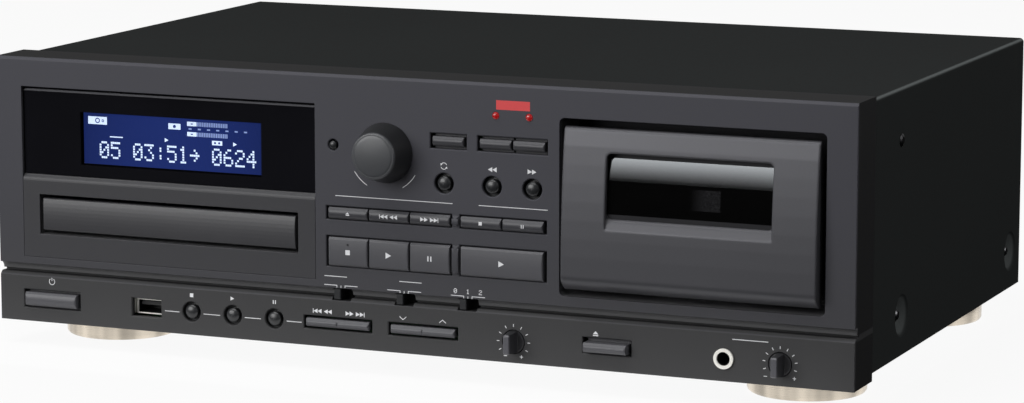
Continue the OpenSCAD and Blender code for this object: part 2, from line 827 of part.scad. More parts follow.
// Key in a slot: cap, retaining flange and stem towards its switch
module slot_key(x, z, w, h, out, gap_z, stem_end, crown = key_crown) {
    cap(x, z, w, h, -out, key_back, key_round, crown);
    block([x - w / 2, flange_y, z - h / 2 - gap_z - key_lap],
        [x + w / 2, key_back, z + h / 2 + gap_z + key_lap]);
    rod_y(x, z, key_stem_r, key_back, stem_end);
}

// Round button: domed cap, retaining flange and stem
module round_button(x, z, r, hole_r, out) turned(x, z, concat(
    [[0, -out]],
    [for (i = [1:4]) [r * sin(i * 15), r * (1 - cos(i * 15)) * 0.5 - out]],
    [[r, r * 0.4 - out], [r, flange_y], [hole_r + key_lap, flange_y], [hole_r + key_lap, key_back],
    [key_stem_r, key_back], [key_stem_r, stem_y], [0, stem_y]]));

// Small knob: disc in the panel, tapered bar grip and shaft
module small_knob(x) {
    rod_y(x, small_knob_z, small_knob_r, 0, panel_t);
    rod_y(x, small_knob_z, shaft_r, panel_t, board_y - 1);
    intersection() {
        turned(x, small_knob_z, [[0, -small_knob_h], [small_knob_r - 1.2, -small_knob_h],
            [small_knob_r - 0.6, -small_knob_h + 0.6], [small_knob_r, 0.5], [0, 0.5]]);
        translate([x, 0, 0]) linear_extrude(panel_h) polygon([[-grip_foot / 2, 0.5],
            [-grip_tip / 2, -small_knob_h - 1], [grip_tip / 2, -small_knob_h - 1], [grip_foot / 2, 0.5]]);
    }
}

// Rocker: notched cap and a hub on the panel's pivot pin
module rocker(x) difference() {
    union() {
        cap(x, low_z, rocker_w, rocker_h, -rocker_out, panel_t, key_round, key_crown);
        block([x - rocker_hub, panel_t - 0.5, low_z - rocker_h / 2],
            [x + rocker_hub, rocker_pin_y + rocker_hub, low_z + rocker_h / 2]);
    }
    rod_z(x, rocker_pin_y, rocker_pin_r + run_fit, 0, panel_h);
    translate([x, -rocker_out, 0])
        block([-rocker_notch / 2, -1, 0], [rocker_notch / 2, rocker_notch / 2, panel_h]);
}

// Slide switch: knob through the slot and the slider behind it
module slide_switch(i) {
    x = switch_x[i] - switch_travel / 2;
    cap(x, switch_z, switch_w, switch_h, switch_in, slider_y0 + 0.5, 0.4);
    block([x - slider_w / 2, slider_y0, switch_z - slider_h / 2],
        [x + slider_w / 2, slider_y1, switch_z + slider_h / 2]);
}

// Outline of a reel's spindle with its splines
spindle = [for (k = [0:5], p = [[-8, 0], [-6, spline_h], [6, spline_h], [8, 0], [22, 0], [38, 0]])
    let (a = 60 * k + p[0]) (spindle_r + p[1]) * [cos(a), sin(a)]];

// Reel: splined spindle with a tapered tip, table and shaft
module reel(x) {
    turned(x, hub_z, [[0, spindle_tip_y], [spindle_r - 1.5, spindle_tip_y],
        [spindle_r - 0.4, spindle_tip_y + 3.5], [0, spindle_tip_y + 3.5]]);
    translate([x, 0, hub_z]) slab(spindle, spindle_tip_y + 3, table_y + 0.5);
    turned(x, hub_z, [[0, table_y], [reel_r, table_y], [reel_r, reel_back_y], [reel_shaft_r, reel_back_y],
        [reel_shaft_r, bush_back_y + 1], [0, bush_back_y + 1]]);
}

// Outline of the panel's front in y and z, from the bottom edge to the top
panel_front = concat(
    [[0, 0], [0, groove_z], [slope_d, slot_z0], [groove_d, slot_z0], [groove_d, groove_lip_z]],
    arc([0, groove_lip_z], groove_lip_d, 0, 90),
    [[0, panel_h - panel_edge], [panel_edge, panel_h]]);

module panel_shell() {
    bar(concat(panel_front, [[return_d, panel_h], [return_d, panel_h - panel_t],
        [panel_t, panel_h - panel_t], [panel_t, bump_high], [bump_y, groove_lip_z + panel_t],
        [bump_y, slot_z0 - panel_t], [panel_t, bump_low], [panel_t, panel_t], [sill_d, panel_t],
        [sill_d, 0]]), -panel_w / 2, panel_w / 2);
    for (s = [-1, 1]) translate([s * (panel_w - side_t) / 2, 0, 0])
        bar(concat(panel_front, [[return_d, panel_h], [return_d, 0]]), -side_t / 2, side_t / 2);
}

// Bosses that carry the control board, across and up
board_bosses = [[-40, 119], [30, 119], [12, (thin_z + tall_z + (tall_h - thin_h) / 2) / 2],
    [-160, low_z], [77, low_z], [130, low_z]];

module panel_cuts() {
    block([insert_x - insert_w / 2, -1, insert_z0], [insert_x + insert_w / 2, panel_t + 1, insert_z1]);
    translate([door_x, 0, well_mid_z]) slab(rounded(well_w, well_h, well_corner), -1, well_d + 1);
    translate([door_x, 0, 0]) both_sides()
        rod_x(hinge_y, hinge_z, hinge_r + run_fit, well_w / 2 - 1, well_w / 2 + well_t + 1);
    for (row = [[thin_z, thin_h], [tall_z, tall_h]]) {
        slot_h = row[1] + 2 * key_slot_gap;
        left = row_x0 - row_end_gap;
        right = row_end + row_end_gap;
        slot_cut((left + blank_x0) / 2, row[0], blank_x0 - left, slot_h);
        slot_cut((tape_key_x0 - key_gap + right) / 2, row[0], right - tape_key_x0 + key_gap, slot_h);
    }
    slot_cut(source_x, upper_z, upper_w + 2 * upper_gap_x, upper_h + 2 * upper_gap_z);
    slot_cut(record_x, upper_z, 2 * upper_w + record_gap + 2 * upper_gap_x, upper_h + 2 * upper_gap_z);
    slot_cut(power_x, low_z, power_w + 2 * low_gap_x, power_h + 2 * low_gap_z);
    slot_cut(eject_x, low_z, eject_w + 2 * low_gap_x, eject_h + 2 * (low_gap_z + eject_drop));
    for (x = [skip_x, folder_x])
        slot_cut(x, low_z, rocker_w + 2 * rocker_gap_x, rocker_h + 2 * rocker_gap_z);
    slot_cut(usb_x, low_z, usb_w + 2 * usb_gap, usb_h + 2 * usb_gap);
    for (x = [repeat_x, rewind_x, forward_x]) hole_cut(x, round_z, round_hole_r);
    for (i = [0:2]) hole_cut(usb_key_x(i), low_z, round_hole_r);
    hole_cut(reset_x, reset_z, reset_hole_r);
    rod_y(knob_x, knob_z, shaft_r + slide_gap, -1, panel_t + 1);
    for (x = [pitch_x, mic_level_x]) rod_y(x, small_knob_z, small_knob_r + small_knob_gap, -1, panel_t + 1);
    for (s = [-1, 1]) rod_y(record_x + s * lamp_pitch / 2, lamp_z, lamp_r + run_fit, -1, panel_t + 1);
    rod_y(jack_x, jack_z, jack_ring_r - 0.3, -1, panel_t + 1);
    for (x = switch_x) block([x - switch_slot_w / 2, -1, switch_z - switch_h / 2 - slide_gap],
        [x + switch_slot_w / 2, bump_y + 1, switch_z + switch_h / 2 + slide_gap]);
}

module front_panel() color("#414145") at_face() {
    difference() {
        union() {
            panel_shell();
            translate([door_x, 0, well_mid_z]) slab(rounded(well_w + 2 * well_t, well_h + 2 * well_t,
                well_corner + well_t), panel_t - 1, well_d);
            for (b = board_bosses) rod_y(b[0], b[1], 2.2, panel_t - 0.5, board_y);
            for (row = [[thin_z, thin_h, key_crown], [tall_z, tall_h, tall_crown]])
                cap(blank_x0 + blank_w / 2, row[0], blank_w, row[1], -key_out, panel_t, key_round, row[2]);
        }
        panel_cuts();
    }
    for (x = [skip_x, folder_x]) rocker_pivot(x);
}

// Ears behind the panel with the pin that a rocker turns on
module rocker_pivot(x) {
    ear = rocker_h / 2 + rocker_gap_z;
    for (s = [-1, 1]) translate([0, 0, low_z + s * (ear + 1)])
        block([x - rocker_hub, panel_t - 0.5, -1], [x + rocker_hub, rocker_pin_y + rocker_hub, 1]);
    rod_z(x, rocker_pin_y, rocker_pin_r, low_z - ear - 1, low_z + ear + 1);
}

module disc_bezel() color("#454549") at_face() difference() {
    union() {
        bar(concat([[0, bezel_z0], [0, bezel_z - bezel_r]],
            arc([bezel_r, bezel_z - bezel_r], bezel_r, 180, 90),
            [[bezel_d, bezel_z], [bezel_d, bezel_z - panel_t], [bezel_back, bezel_z - panel_t],
            [bezel_back, bezel_z0]]), bezel_x0, bezel_x1);
        block([bezel_x0 - insert_lap, panel_t, bezel_z0 - insert_lap],
            [bezel_x1 + insert_lap, bezel_back, bezel_z - panel_t]);
        block([insert_x - tray_open_w / 2 - 2, panel_t, tray_open_z0 - 2],
            [insert_x + tray_open_w / 2 + 2, bezel_d, tray_open_z1 + 2]);
    }
    block([insert_x - tray_open_w / 2, -1, tray_open_z0],
        [insert_x + tray_open_w / 2, bezel_d + 1, tray_open_z1]);
    block([bezel_x0 - insert_lap - 1, panel_t - 1, bezel_z0 - insert_lap - 1],
        [bezel_x1 + insert_lap + 1, bezel_d + 1, bump_high + insert_gap]);
}

module display_window() color("#101014") at_face() {
    bar([[window_in + 0.8, insert_z1 - window_top_gap], [window_back, insert_z1 - window_top_gap],
        [window_back, bezel_z + insert_gap], [window_in, bezel_z + insert_gap],
        [window_in, insert_z1 - window_top_gap - 0.8]], bezel_x0 + 0.5, bezel_x1 - 0.5);
    block([bezel_x0 - insert_lap, panel_t, bezel_z + insert_gap],
        [bezel_x1 + insert_lap, window_back, insert_z1 + insert_lap]);
}

module display_module() color("#1c2d78") at_face()
    block([insert_x - lcd_w / 2, window_back, lcd_z - lcd_h / 2],
        [insert_x + lcd_w / 2, window_back + lcd_d, lcd_z + lcd_h / 2]);

// Places of the side screws: distance from the front face and height
dish_places = [[dish_front_y, dish_z], [dish_rear_y, dish_z]];
// Places of the screws in the cover's rear lip
lip_places = [for (s = [-1, 0, 1]) s * panel_w / 3];

module main_chassis() color("#5c5c60") at_face() difference() {
    union() {
        block([-flange_x, panel_t + 0.5, pan_z], [flange_x, back_y, deck_z]);
        block([-flange_x, back_y - pan_t, pan_z], [flange_x, back_y, cover_top - cover_t - slide_gap]);
        for (s = [-1, 1]) translate([s * (flange_x - pan_t / 2), 0, 0])
            block([-pan_t / 2, return_d + 1, pan_z], [pan_t / 2, back_y, deck_z + flange_h]);
    }
    for (p = dish_places) rod_x(p[0], p[1], screw_r + 0.1, -panel_w, panel_w);
    for (x = lip_places) rod_y(x, cover_top - cover_lip / 2, screw_r + 0.1, back_y - 10, back_y + 10);
    socket_span = socket_pitch + 2 * socket_r + 2 * socket_rim / 3;
    block([socket_x - socket_span / 2, back_y - 10, socket_z - socket_span / 2],
        [socket_x + socket_span / 2, back_y + 10, socket_z + socket_span / 2]);
    block([inlet_x - inlet_w / 2 - 2, back_y - 10, inlet_z - inlet_h / 2 - 2],
        [inlet_x + inlet_w / 2 + 2, back_y + 10, inlet_z + inlet_h / 2 + 2]);
}

// Pressed dish in the cover's right side, opening outwards
module dish() rotate([0, 90, 0]) rotate_extrude()
    polygon([[0, -dish_d - cover_t], [dish_floor_r, -dish_d - cover_t], [dish_r, -cover_t],
        [dish_r + 0.5, -cover_t], [dish_r + 0.5, 0], [dish_r, 0], [dish_floor_r, -dish_d], [0, -dish_d]]);

module at_dishes() both_sides() for (p = dish_places) translate([cover_x, p[0], p[1]]) children();

module top_cover() color("#26262a") at_face() difference() {
    union() {
        difference() {
            union() {
                slab(concat(hoop(cover_x, cover_top, pan_z, cover_bend),
                    reversed(hoop(cover_x - cover_t, cover_top - cover_t, pan_z, cover_bend - cover_t))),
                    return_d, body_d);
                block([cover_bend - cover_x, back_y, cover_top - cover_lip],
                    [cover_x - cover_bend, body_d, cover_top - cover_t / 2]);
            }
            at_dishes() rotate([0, 90, 0]) cylinder(r = dish_r, h = 4 * cover_t, center = true);
        }
        at_dishes() dish();
    }
    for (p = dish_places) rod_x(p[0], p[1], screw_r + 0.1, -panel_w, panel_w);
    rod_x(upper_screw_y, upper_screw_z, screw_r + 0.1, -panel_w, panel_w);
    for (x = lip_places) rod_y(x, cover_top - cover_lip / 2, screw_r + 0.1, back_y - 10, back_y + 10);
}

// Pan-head screw along +z, seated with its head's underside at the origin
module screw(head_h = screw_head_h) rotate_extrude() polygon([[0, -head_h], [screw_head_r * 0.6, -head_h],
    [screw_head_r, -head_h * 0.4], [screw_head_r, 0], [screw_r, 0], [screw_r, screw_l], [0, screw_l]]);

module cover_screws() color("#2b2b2f") at_face() {
    at_dishes() translate([-dish_d, 0, 0]) rotate([0, -90, 0]) screw();
    both_sides() translate([cover_x, upper_screw_y, upper_screw_z]) rotate([0, -90, 0]) screw(upper_head_h);
    for (x = lip_places) translate([x, body_d, cover_top - cover_lip / 2]) rotate([90, 0, 0]) screw();
}

module feet() color("#d3c9b5") at_face() for (x = [-foot_x, foot_x], y = [foot_front_y, foot_rear_y])
    translate([x, y, -foot_gap]) rotate_extrude() polygon(concat(
        [[0, 0]], arc([foot_r - foot_round, foot_round], foot_round, -90, 0), [[foot_r, foot_gap + pan_z],
        [0, foot_gap + pan_z]]));

module record_lamps() color("#d03030") at_face() for (s = [-1, 1])
    turned(record_x + s * lamp_pitch / 2, lamp_z, concat(
        [for (i = [0:5]) [lamp_r * sin(i * 18), -lamp_r * cos(i * 18) * 0.6]],
        [[lamp_r, panel_t], [lamp_r + 0.6, panel_t], [lamp_r + 0.6, panel_t + 1], [lamp_r, panel_t + 1],
        [lamp_r, panel_t + 4], [0, panel_t + 4]]));

module usb_socket() color("#c8c8c4") at_face() translate([usb_x, 0, low_z]) {
    difference() {
        union() {
            block([-usb_w / 2, usb_in, -usb_h / 2], [usb_w / 2, usb_in + usb_d, usb_h / 2]);
            both_sides() bar([[panel_t, -usb_h / 2], [usb_in + 2, -usb_h / 2], [usb_in + 2, usb_h / 2],
                [panel_t, usb_h / 2]], usb_w / 2 + usb_gap + 0.5, usb_w / 2 + usb_gap + 2);
            block([-usb_w / 2 - usb_gap - 1, usb_in + 1, -usb_h / 2],
                [usb_w / 2 + usb_gap + 1, usb_in + 2, usb_h / 2]);
        }
        block([usb_t - usb_w / 2, usb_in - 1, usb_t - usb_h / 2],
            [usb_w / 2 - usb_t, usb_in + usb_d - 4, usb_h / 2 - usb_t]);
    }
    block([1.6 - usb_w / 2, usb_in + 2, 0.4], [usb_w / 2 - 1.6, usb_in + usb_d - 3, 2.2]);
}

module mic_jack() color("#c9c8c2") at_face() translate([jack_x, 0, jack_z]) difference() {
    half = jack_body / 2;
    union() {
        rod_y(0, 0, jack_ring_r, -jack_ring_t, 0);
        rod_y(0, 0, jack_ring_r - 0.4, -jack_ring_t / 2, panel_t + 1);
        block([-half, panel_t, -half], [half, panel_t + jack_depth, half]);
    }
    rod_y(0, 0, jack_bore_r, -jack_ring_t - 1, jack_depth - jack_ring_t);
}

module rear_sockets() color("#222226") at_face() translate([socket_x, 0, socket_z]) {
    half = socket_pitch / 2;
    plate = half + socket_r + socket_rim;
    inner = half + socket_r + socket_rim / 4;
    difference() {
        union() {
            block([-plate, back_y, -plate], [plate, back_y + pan_t, plate]);
            block([-inner, back_y - socket_body_d, -inner], [inner, back_y + 0.5, inner]);
            for (a = [-half, half], b = [-half, half]) rod_y(a, b, socket_r, back_y, body_d + socket_out);
        }
        for (a = [-half, half], b = [-half, half])
            rod_y(a, b, socket_hole_r, back_y - socket_body_d / 2, body_d + 2 * socket_out);
    }
}

module mains_inlet() color("#1c1c20") at_face() translate([inlet_x, 0, inlet_z]) {
    difference() {
        union() {
            slab(rounded(inlet_w + 2 * inlet_rim, inlet_h + 2 * inlet_rim, 2), back_y, back_y + 1.5);
            block([-inlet_w / 2 - 1.8, back_y - inlet_d - 3, -inlet_h / 2 - 1.8],
                [inlet_w / 2 + 1.8, back_y + 0.5, inlet_h / 2 + 1.8]);
        }
        slab(rounded(inlet_w, inlet_h, inlet_h / 2 - 0.5), back_y - inlet_d, back_y + 3);
    }
    for (s = [-1, 1]) rod_y(s * inlet_w / 4, 0, 1.15, back_y - inlet_d - 2, back_y - 1);
}

// Middles of the pushed keys and buttons, each with a switch on the control board
pushed = concat(
    [for (i = [0:4]) [key_x(i) + key_w / 2, thin_z]],
    [for (i = [0:2]) [key_x(i) + key_w / 2, tall_z]],
    [[(tape_key_x0 + row_end) / 2, tall_z], [source_x, upper_z], [reset_x, reset_z]],
    [for (i = [0:1]) [record_key_x(i), upper_z]],
    [for (x = [repeat_x, rewind_x, forward_x]) [x, round_z]],
    [for (i = [0:2]) [usb_key_x(i), low_z]]);
// Middles of the turned controls
turned_controls = [[knob_x, knob_z], [pitch_x, small_knob_z], [mic_level_x, small_knob_z]];
board_z0 = deck_z + 0.5;
board_z1 = panel_h - panel_t - 2;
board_step = groove_z - panel_t;

module control_board() difference() {
    union() {
        slab([[-board_w / 2, board_z0], [board_w / 2, board_z0], [board_w / 2, board_step],
            [row_end + 3, board_step], [row_end + 3, board_z1], [row_x0 - 4, board_z1],
            [row_x0 - 4, board_step], [-board_w / 2, board_step]], board_y, board_y + board_t);
        for (p = pushed)
            block([p[0] - 3, board_y - switch_body_h, p[1] - 3], [p[0] + 3, board_y + 0.5, p[1] + 3]);
        for (p = turned_controls) block([p[0] - 5, pot_y0, p[1] - 5], [p[0] + 5, board_y + 0.5, p[1] + 5]);
        for (x = switch_x) block([x - 6.5, slider_y1 + slide_gap, switch_z - 3.5],
            [x + 6.5, board_y + 0.5, switch_z + 3.5]);
        for (s = [[power_x, power_travel], [eject_x, eject_travel]])
            block([s[0] - 5, key_back + s[1] + 2.2, low_z - 4], [s[0] + 5, board_y + 0.5, low_z + 4]);
    }
    for (p = turned_controls) rod_y(p[0], p[1], shaft_r + run_fit, pot_y0 - 1, board_y + board_t + 1);
    block([usb_x - usb_w / 2 - 1, board_y - 1, low_z - usb_h / 2 - 0.6],
        [usb_x + usb_w / 2 + 1, board_y + board_t + 1, low_z + usb_h / 2 + 0.6]);
    block([jack_x - jack_body / 2 - 0.5, board_y - 1, board_z0 - 1],
        [jack_x + jack_body / 2 + 0.5, board_y + board_t + 1, jack_z + jack_body / 2 + 0.4]);
}

module main_board() {
    z0 = deck_z + spacer_h;
    x0 = main_board_x - main_board_w / 2;
    y1 = main_board_y + main_board_d;
    block([x0, main_board_y, z0], [x0 + main_board_w, y1, z0 + board_t]);
    for (a = [spacer_h, main_board_w - spacer_h], b = [spacer_h, main_board_d - spacer_h])
        rod_z(x0 + a, main_board_y + b, 2 * board_t, deck_z, z0 + 0.5);
    for (i = [1:4]) rod_z(x0 + i * main_board_w / 6, y1 - can_back, i % 2 + can_r, z0 + 0.5, z0 + can_h);
    for (i = [1:3]) translate([x0 + i * main_board_w / 4, main_board_y + main_board_d / 4, z0 + 0.5])
        linear_extrude(chip_t) square(chip_w, center = true);
    block([x0 + sink_in, main_board_y + main_board_d / 2, z0 + 0.5],
        [x0 + sink_in + sink_t, y1 - 2 * can_back, z0 + sink_h]);
}

module circuit_boards() color("#2f6b3c") at_face() {
    control_board();
    main_board();
}

module power_transformer() color("#8a8a8e") at_face()
    translate([inlet_x - core_in, back_y - core_back, deck_z]) {
    difference() {
        block([-core_w / 2, -core_d / 2, 0], [core_w / 2, core_d / 2, core_h]);
        for (s = [-1, 1]) translate([s * core_w / 4, 0, core_h / 2])
            block([-core_w / 12, -core_d, -core_h / 4], [core_w / 12, core_d, core_h / 4]);
    }
    for (s = [-1, 1]) translate([0, s * core_d * 5 / 8, core_h / 2])
        block([-core_w / 3, -core_d / 8, -core_h / 4], [core_w / 3, core_d / 8, core_h / 4]);
    block([-core_w * 2 / 3, -core_d / 3, 0], [core_w * 2 / 3, core_d / 3, pan_t]);
}

module rec_level_knob() color("#2a2a2d") at_face() turned(knob_x, knob_z, concat(
    [[0, -knob_h]], arc([knob_face_r - knob_round, knob_round - knob_h], knob_round, -90, 0, 4),
    [[knob_base_r, -slide_gap], [shaft_r, -slide_gap], [shaft_r, board_y - 1], [0, board_y - 1]]));

module pitch_knob() color("#232326") at_face() small_knob(pitch_x);
module mic_level_knob() color("#232326") at_face() small_knob(mic_level_x);

module upper_key(x) slot_key(x, upper_z, upper_w, upper_h, upper_out, upper_gap_z, stem_y);

module source_button() color("#4a4a4e") at_face() upper_key(source_x);
module rec_usb_button() color("#4a4a4e") at_face() upper_key(record_key_x(0));
module rec_tape_button() color("#4a4a4e") at_face() upper_key(record_key_x(1));

module winding_button(x) round_button(x, round_z, round_r, round_hole_r, round_out);

module repeat_button() color("#38383b") at_face() winding_button(repeat_x);
module rewind_button() color("#38383b") at_face() winding_button(rewind_x);
module fast_forward_button() color("#38383b") at_face() winding_button(forward_x);

module counter_reset_button() color("#38383b") at_face()
    round_button(reset_x, reset_z, reset_r, reset_hole_r, round_out);

module thin_key(i) slot_key(key_x(i) + key_w / 2, thin_z, key_w, thin_h, key_out, key_slot_gap, stem_y);

module tall_key(i, w = key_w)
    slot_key(key_x(i) + w / 2, tall_z, w, tall_h, key_out, key_slot_gap, stem_y, tall_crown);

module open_close_button() color("#48484c") at_face() thin_key(0);
module disc_back_button() color("#48484c") at_face() thin_key(1);
module disc_forward_button() color("#48484c") at_face() thin_key(2);
module tape_stop_button() color("#48484c") at_face() thin_key(3);
module tape_pause_button() color("#48484c") at_face() thin_key(4);
module disc_stop_button() color("#48484c") at_face() tall_key(0);
module disc_play_button() color("#48484c") at_face() tall_key(1);
module disc_pause_button() color("#48484c") at_face() tall_key(2);
module tape_play_button() color("#48484c") at_face() tall_key(3, row_end - tape_key_x0);

module power_button() color("#48484c") at_face()
    slot_key(power_x, low_z, power_w, power_h, power_out, low_gap_z, key_back + 2);

module usb_key(i) round_button(usb_key_x(i), low_z, round_r, round_hole_r, round_out);

module usb_stop_button() color("#38383b") at_face() usb_key(0);
module usb_play_button() color("#38383b") at_face() usb_key(1);
module usb_pause_button() color("#38383b") at_face() usb_key(2);
module usb_skip_key() color("#4a4a4e") at_face() rocker(skip_x);
module folder_key() color("#4a4a4e") at_face() rocker(folder_x);

module eject_button() color("#4a4a4e") at_face()
    slot_key(eject_x, low_z - eject_drop, eject_w, eject_h, eject_out, low_gap_z + 2 * eject_drop,
        key_back + 2);

module start_source_switch() color("#2c2c2f") at_face() slide_switch(0);
module start_mode_switch() color("#2c2c2f") at_face() slide_switch(1);
module echo_switch() color("#2c2c2f") at_face() slide_switch(2);

// How far the door's bulging face stands out at height z
function door_out(z) =
    let (up = (z - door_crease_z) / (door_z1 - door_crease_z))
    door_crease_out - (door_crease_out - door_top_out) * up * up;

// Outline of the door's face in y and z, from the top edge to the bottom
door_face = concat(
    arc([door_top_r - door_top_out, door_z1 - door_top_r], door_top_r, 90, 180),
    [for (i = [1:8]) let (z = door_z1 + (door_crease_z - door_z1) * i / 8) [-door_out(z), z]],
    curve([-door_crease_out, door_crease_z - 1], [-door_crease_out, door_crease_z - 4], [0, door_z0], 6));

module cassette_door() color("#4c4c50") at_face() translate([door_x, 0, 0]) difference() {
    union() {
        bar(skin(door_face, door_t), -door_w / 2, door_w / 2);
        both_sides() {
            bar(concat(door_face, [[door_back, door_z0], [door_back, door_z1]]), door_w / 2 - 2, door_w / 2);
            rod_x(hinge_y, hinge_z, hinge_r + 1.2, door_w / 2 - 2, door_w / 2);
            rod_x(hinge_y, hinge_z, hinge_r, door_w / 2 - 1, door_w / 2 + hinge_pin_l);
        }
    }
    translate([0, 0, (pane_z0 + pane_sill + pane_z1) / 2])
        slab(rounded(pane_w, pane_z1 - pane_z0 - pane_sill, pane_corner),
            -door_crease_out - 1, door_back + 1);
    sill_out = door_out(pane_z0);
    bar([[-sill_out, pane_z0], [door_t - sill_out, pane_z0 + pane_sill],
        [door_t - sill_out, pane_z0 + 2 * pane_sill], [-sill_out - 3, pane_z0 + 2 * pane_sill],
        [-sill_out - 3, pane_z0]], -pane_w / 2, pane_w / 2);
}

// Depth of the pane's face at height z, close behind the door's skin
function pane_in(z) = door_t - door_out(z) + 0.1;

// Outline of the clear pane's outer face in y and z, from the bottom up
pane_low = pane_z0 + pane_sill - 1;
pane_top = pane_z1 - 2.4;
pane_mid = (pane_bend_z + pane_top) / 2;
pane_face = concat([[pane_in(pane_low), pane_low]],
    curve([pane_in(pane_bend_z), pane_bend_z], [pane_in(pane_mid), pane_mid],
        [door_back - pane_t, pane_top], 8));

module cassette_window() color("#9aa0a8") at_face() translate([door_x, 0, 0]) {
    bar(skin(pane_face, pane_t), -pane_w / 2 - 1, pane_w / 2 + 1);
    both_sides() bar([[pane_in(pane_low) + pane_t / 2, pane_low], [door_back, pane_low],
        [door_back, pane_bend_z], [pane_in(pane_bend_z) + pane_t / 2, pane_bend_z]],
        pane_w / 2 - 1, pane_w / 2 + 1);
}

module cassette_holder() color("#2c2c30") at_face() translate([door_x, 0, 0]) difference() {
    side_x = pocket_w / 2;
    holder_z0 = tape_z - 2.5;
    holder_y1 = pocket_y1 + holder_t;
    union() {
        block([-door_w / 2, holder_y0, holder_z0], [door_w / 2, pocket_y0, holder_z1]);
        both_sides() {
            translate([side_x, 0, holder_z0]) linear_extrude(holder_z1 - holder_z0)
                polygon([[0, holder_y0], [holder_t, holder_y0], [holder_t, holder_y1],
                    [-holder_lip, holder_y1], [-holder_lip, pocket_y1], [0, pocket_y1]]);
            block([side_x - holder_lip, holder_y0, holder_z0], [side_x + holder_t, holder_y1, tape_z]);
        }
    }
    block([1.5 - pane_w / 2, 0, pane_z0], [pane_w / 2 - 1.5, pocket_y0 + 1, pane_top - 0.5]);
}

module tape_mech_plate() color("#9c9ca0") at_face() translate([door_x, 0, 0]) difference() {
    union() {
        block([-well_w / 2 - well_t - mech_lap, well_d, well_z0 - well_t - mech_lap],
            [well_w / 2 + well_t + mech_lap, well_d + mech_t, well_z1 + well_t + mech_lap]);
        for (s = [-1, 1]) rod_y(s * hub_pitch / 2, hub_z, reel_shaft_r + bush_t, bush_front_y, bush_back_y);
        rod_y(capstan_x, capstan_z, capstan_r + bush_t, bush_front_y, bush_back_y);
        rod_y(arm_x, roller_z, arm_pin_r, arm_y0 - 1, well_d + 0.5);
        rod_y(arm_x, roller_z, arm_pin_r + 1.5, arm_y1 + slide_gap, well_d + 0.5);
        both_sides() translate([slide_w + slide_gap, 0, slide_z0 - 0.5])
            linear_extrude(slide_z1 - slide_z0 + 0.5) polygon([[0, well_d + 0.5], [0, lip_y1], [-1.3, lip_y1],
                [-1.3, lip_y1 - 1.2], [rib_w, lip_y1 - 1.2], [rib_w, well_d + 0.5]]);
    }
    for (s = [-1, 1]) rod_y(s * hub_pitch / 2, hub_z, reel_shaft_r + run_fit, 0, body_d);
    rod_y(capstan_x, capstan_z, capstan_r + run_fit, 0, body_d);
}

module supply_reel() color("#d8d8d6") at_face() reel(door_x - hub_pitch / 2);
module takeup_reel() color("#d8d8d6") at_face() reel(door_x + hub_pitch / 2);

module capstan_flywheel() color("#a8a8ac") at_face() turned(door_x + capstan_x, capstan_z, [
    [0, pocket_y0 + 2], [capstan_r, pocket_y0 + 2], [capstan_r, bush_back_y + slide_gap],
    [capstan_r + 3, bush_back_y + slide_gap], [capstan_r + 3, flywheel_y], [flywheel_r, flywheel_y],
    [flywheel_r, flywheel_y + flywheel_t / 3], [flywheel_r - 1, flywheel_y + flywheel_t / 2],
    [flywheel_r, flywheel_y + 2 * flywheel_t / 3], [flywheel_r, flywheel_y + flywheel_t],
    [0, flywheel_y + flywheel_t]]);

module pinch_roller() color("#1a1a1c") at_face() translate([door_x, 0, 0]) difference() {
    union() {
        rod_y(capstan_x, roller_z, roller_r, roller_y0, arm_y0);
        rod_y(capstan_x, roller_z, 3.2, arm_y0, arm_y1);
        rod_y(arm_x, roller_z, 4.2, arm_y0, arm_y1);
        block([capstan_x, arm_y0, roller_z - 2.5], [arm_x, arm_y1, roller_z + 2.5]);
    }
    rod_y(arm_x, roller_z, arm_pin_r + run_fit, 0, body_d);
}

module head_block() color("#b4b4b8") at_face() translate([door_x, 0, 0]) {
    block([-slide_w, slide_front_y, slide_z0], [slide_w, well_d - slide_gap, slide_z1 - head_travel]);
    block([-head_w / 2, slide_front_y, slide_z0], [head_w / 2, well_d - slide_gap, head_z1 - head_travel]);
    block([-head_w / 2, head_y0, head_z0], [head_w / 2, slide_front_y + 0.5, head_z1]);
    block([-head_w / 2 - 10, head_y0 + 1, head_z0], [-head_w / 2 - 3, slide_front_y + 0.5, head_z1 - 1]);
}

module capstan_motor() color("#8e8e92") at_face()
    translate([door_x + tape_motor_x, 0, well_z1 + well_t - tape_motor_r]) {
    rod_y(0, 0, tape_motor_r, motor_y1 - tape_motor_l, motor_y1);
    rod_y(0, 0, motor_boss, motor_y1 - 0.5, motor_y1 + motor_boss);
}

module tray_front() color("#4a4a4e") at_face()
    cap(insert_x, (tray_front_z0 + tray_front_z1) / 2, tray_front_w, tray_front_z1 - tray_front_z0,
        0, tray_front_t, tray_round, tray_crown);

rack_pitch = PI * tooth_m;
rack_half = (rack_pitch - backlash) / 4;
rack_tip = rack_half - tooth_m * tan(20);
rack_root = rack_half + 1.25 * tooth_m * tan(20);
rack_n0 = -floor((pinion_y - tray_front_t - 8) / rack_pitch);
rack_n1 = floor((tray_back_y - 4 - pinion_y) / rack_pitch);

// Rack under the tray, its teeth facing the pinion
module rack() translate([rack_root_x, pinion_y, rack_z]) linear_extrude(rack_h + 0.5) polygon(concat(
    [for (k = [rack_n0:rack_n1], p = [[0, -rack_root], [2.25 * tooth_m, -rack_tip],
        [2.25 * tooth_m, rack_tip], [0, rack_root]]) [p[0], p[1] + k * rack_pitch]],
    [[0, rack_n1 * rack_pitch + 3], [-3, rack_n1 * rack_pitch + 3], [-3, rack_n0 * rack_pitch - 3],
    [0, rack_n0 * rack_pitch - 3]]));

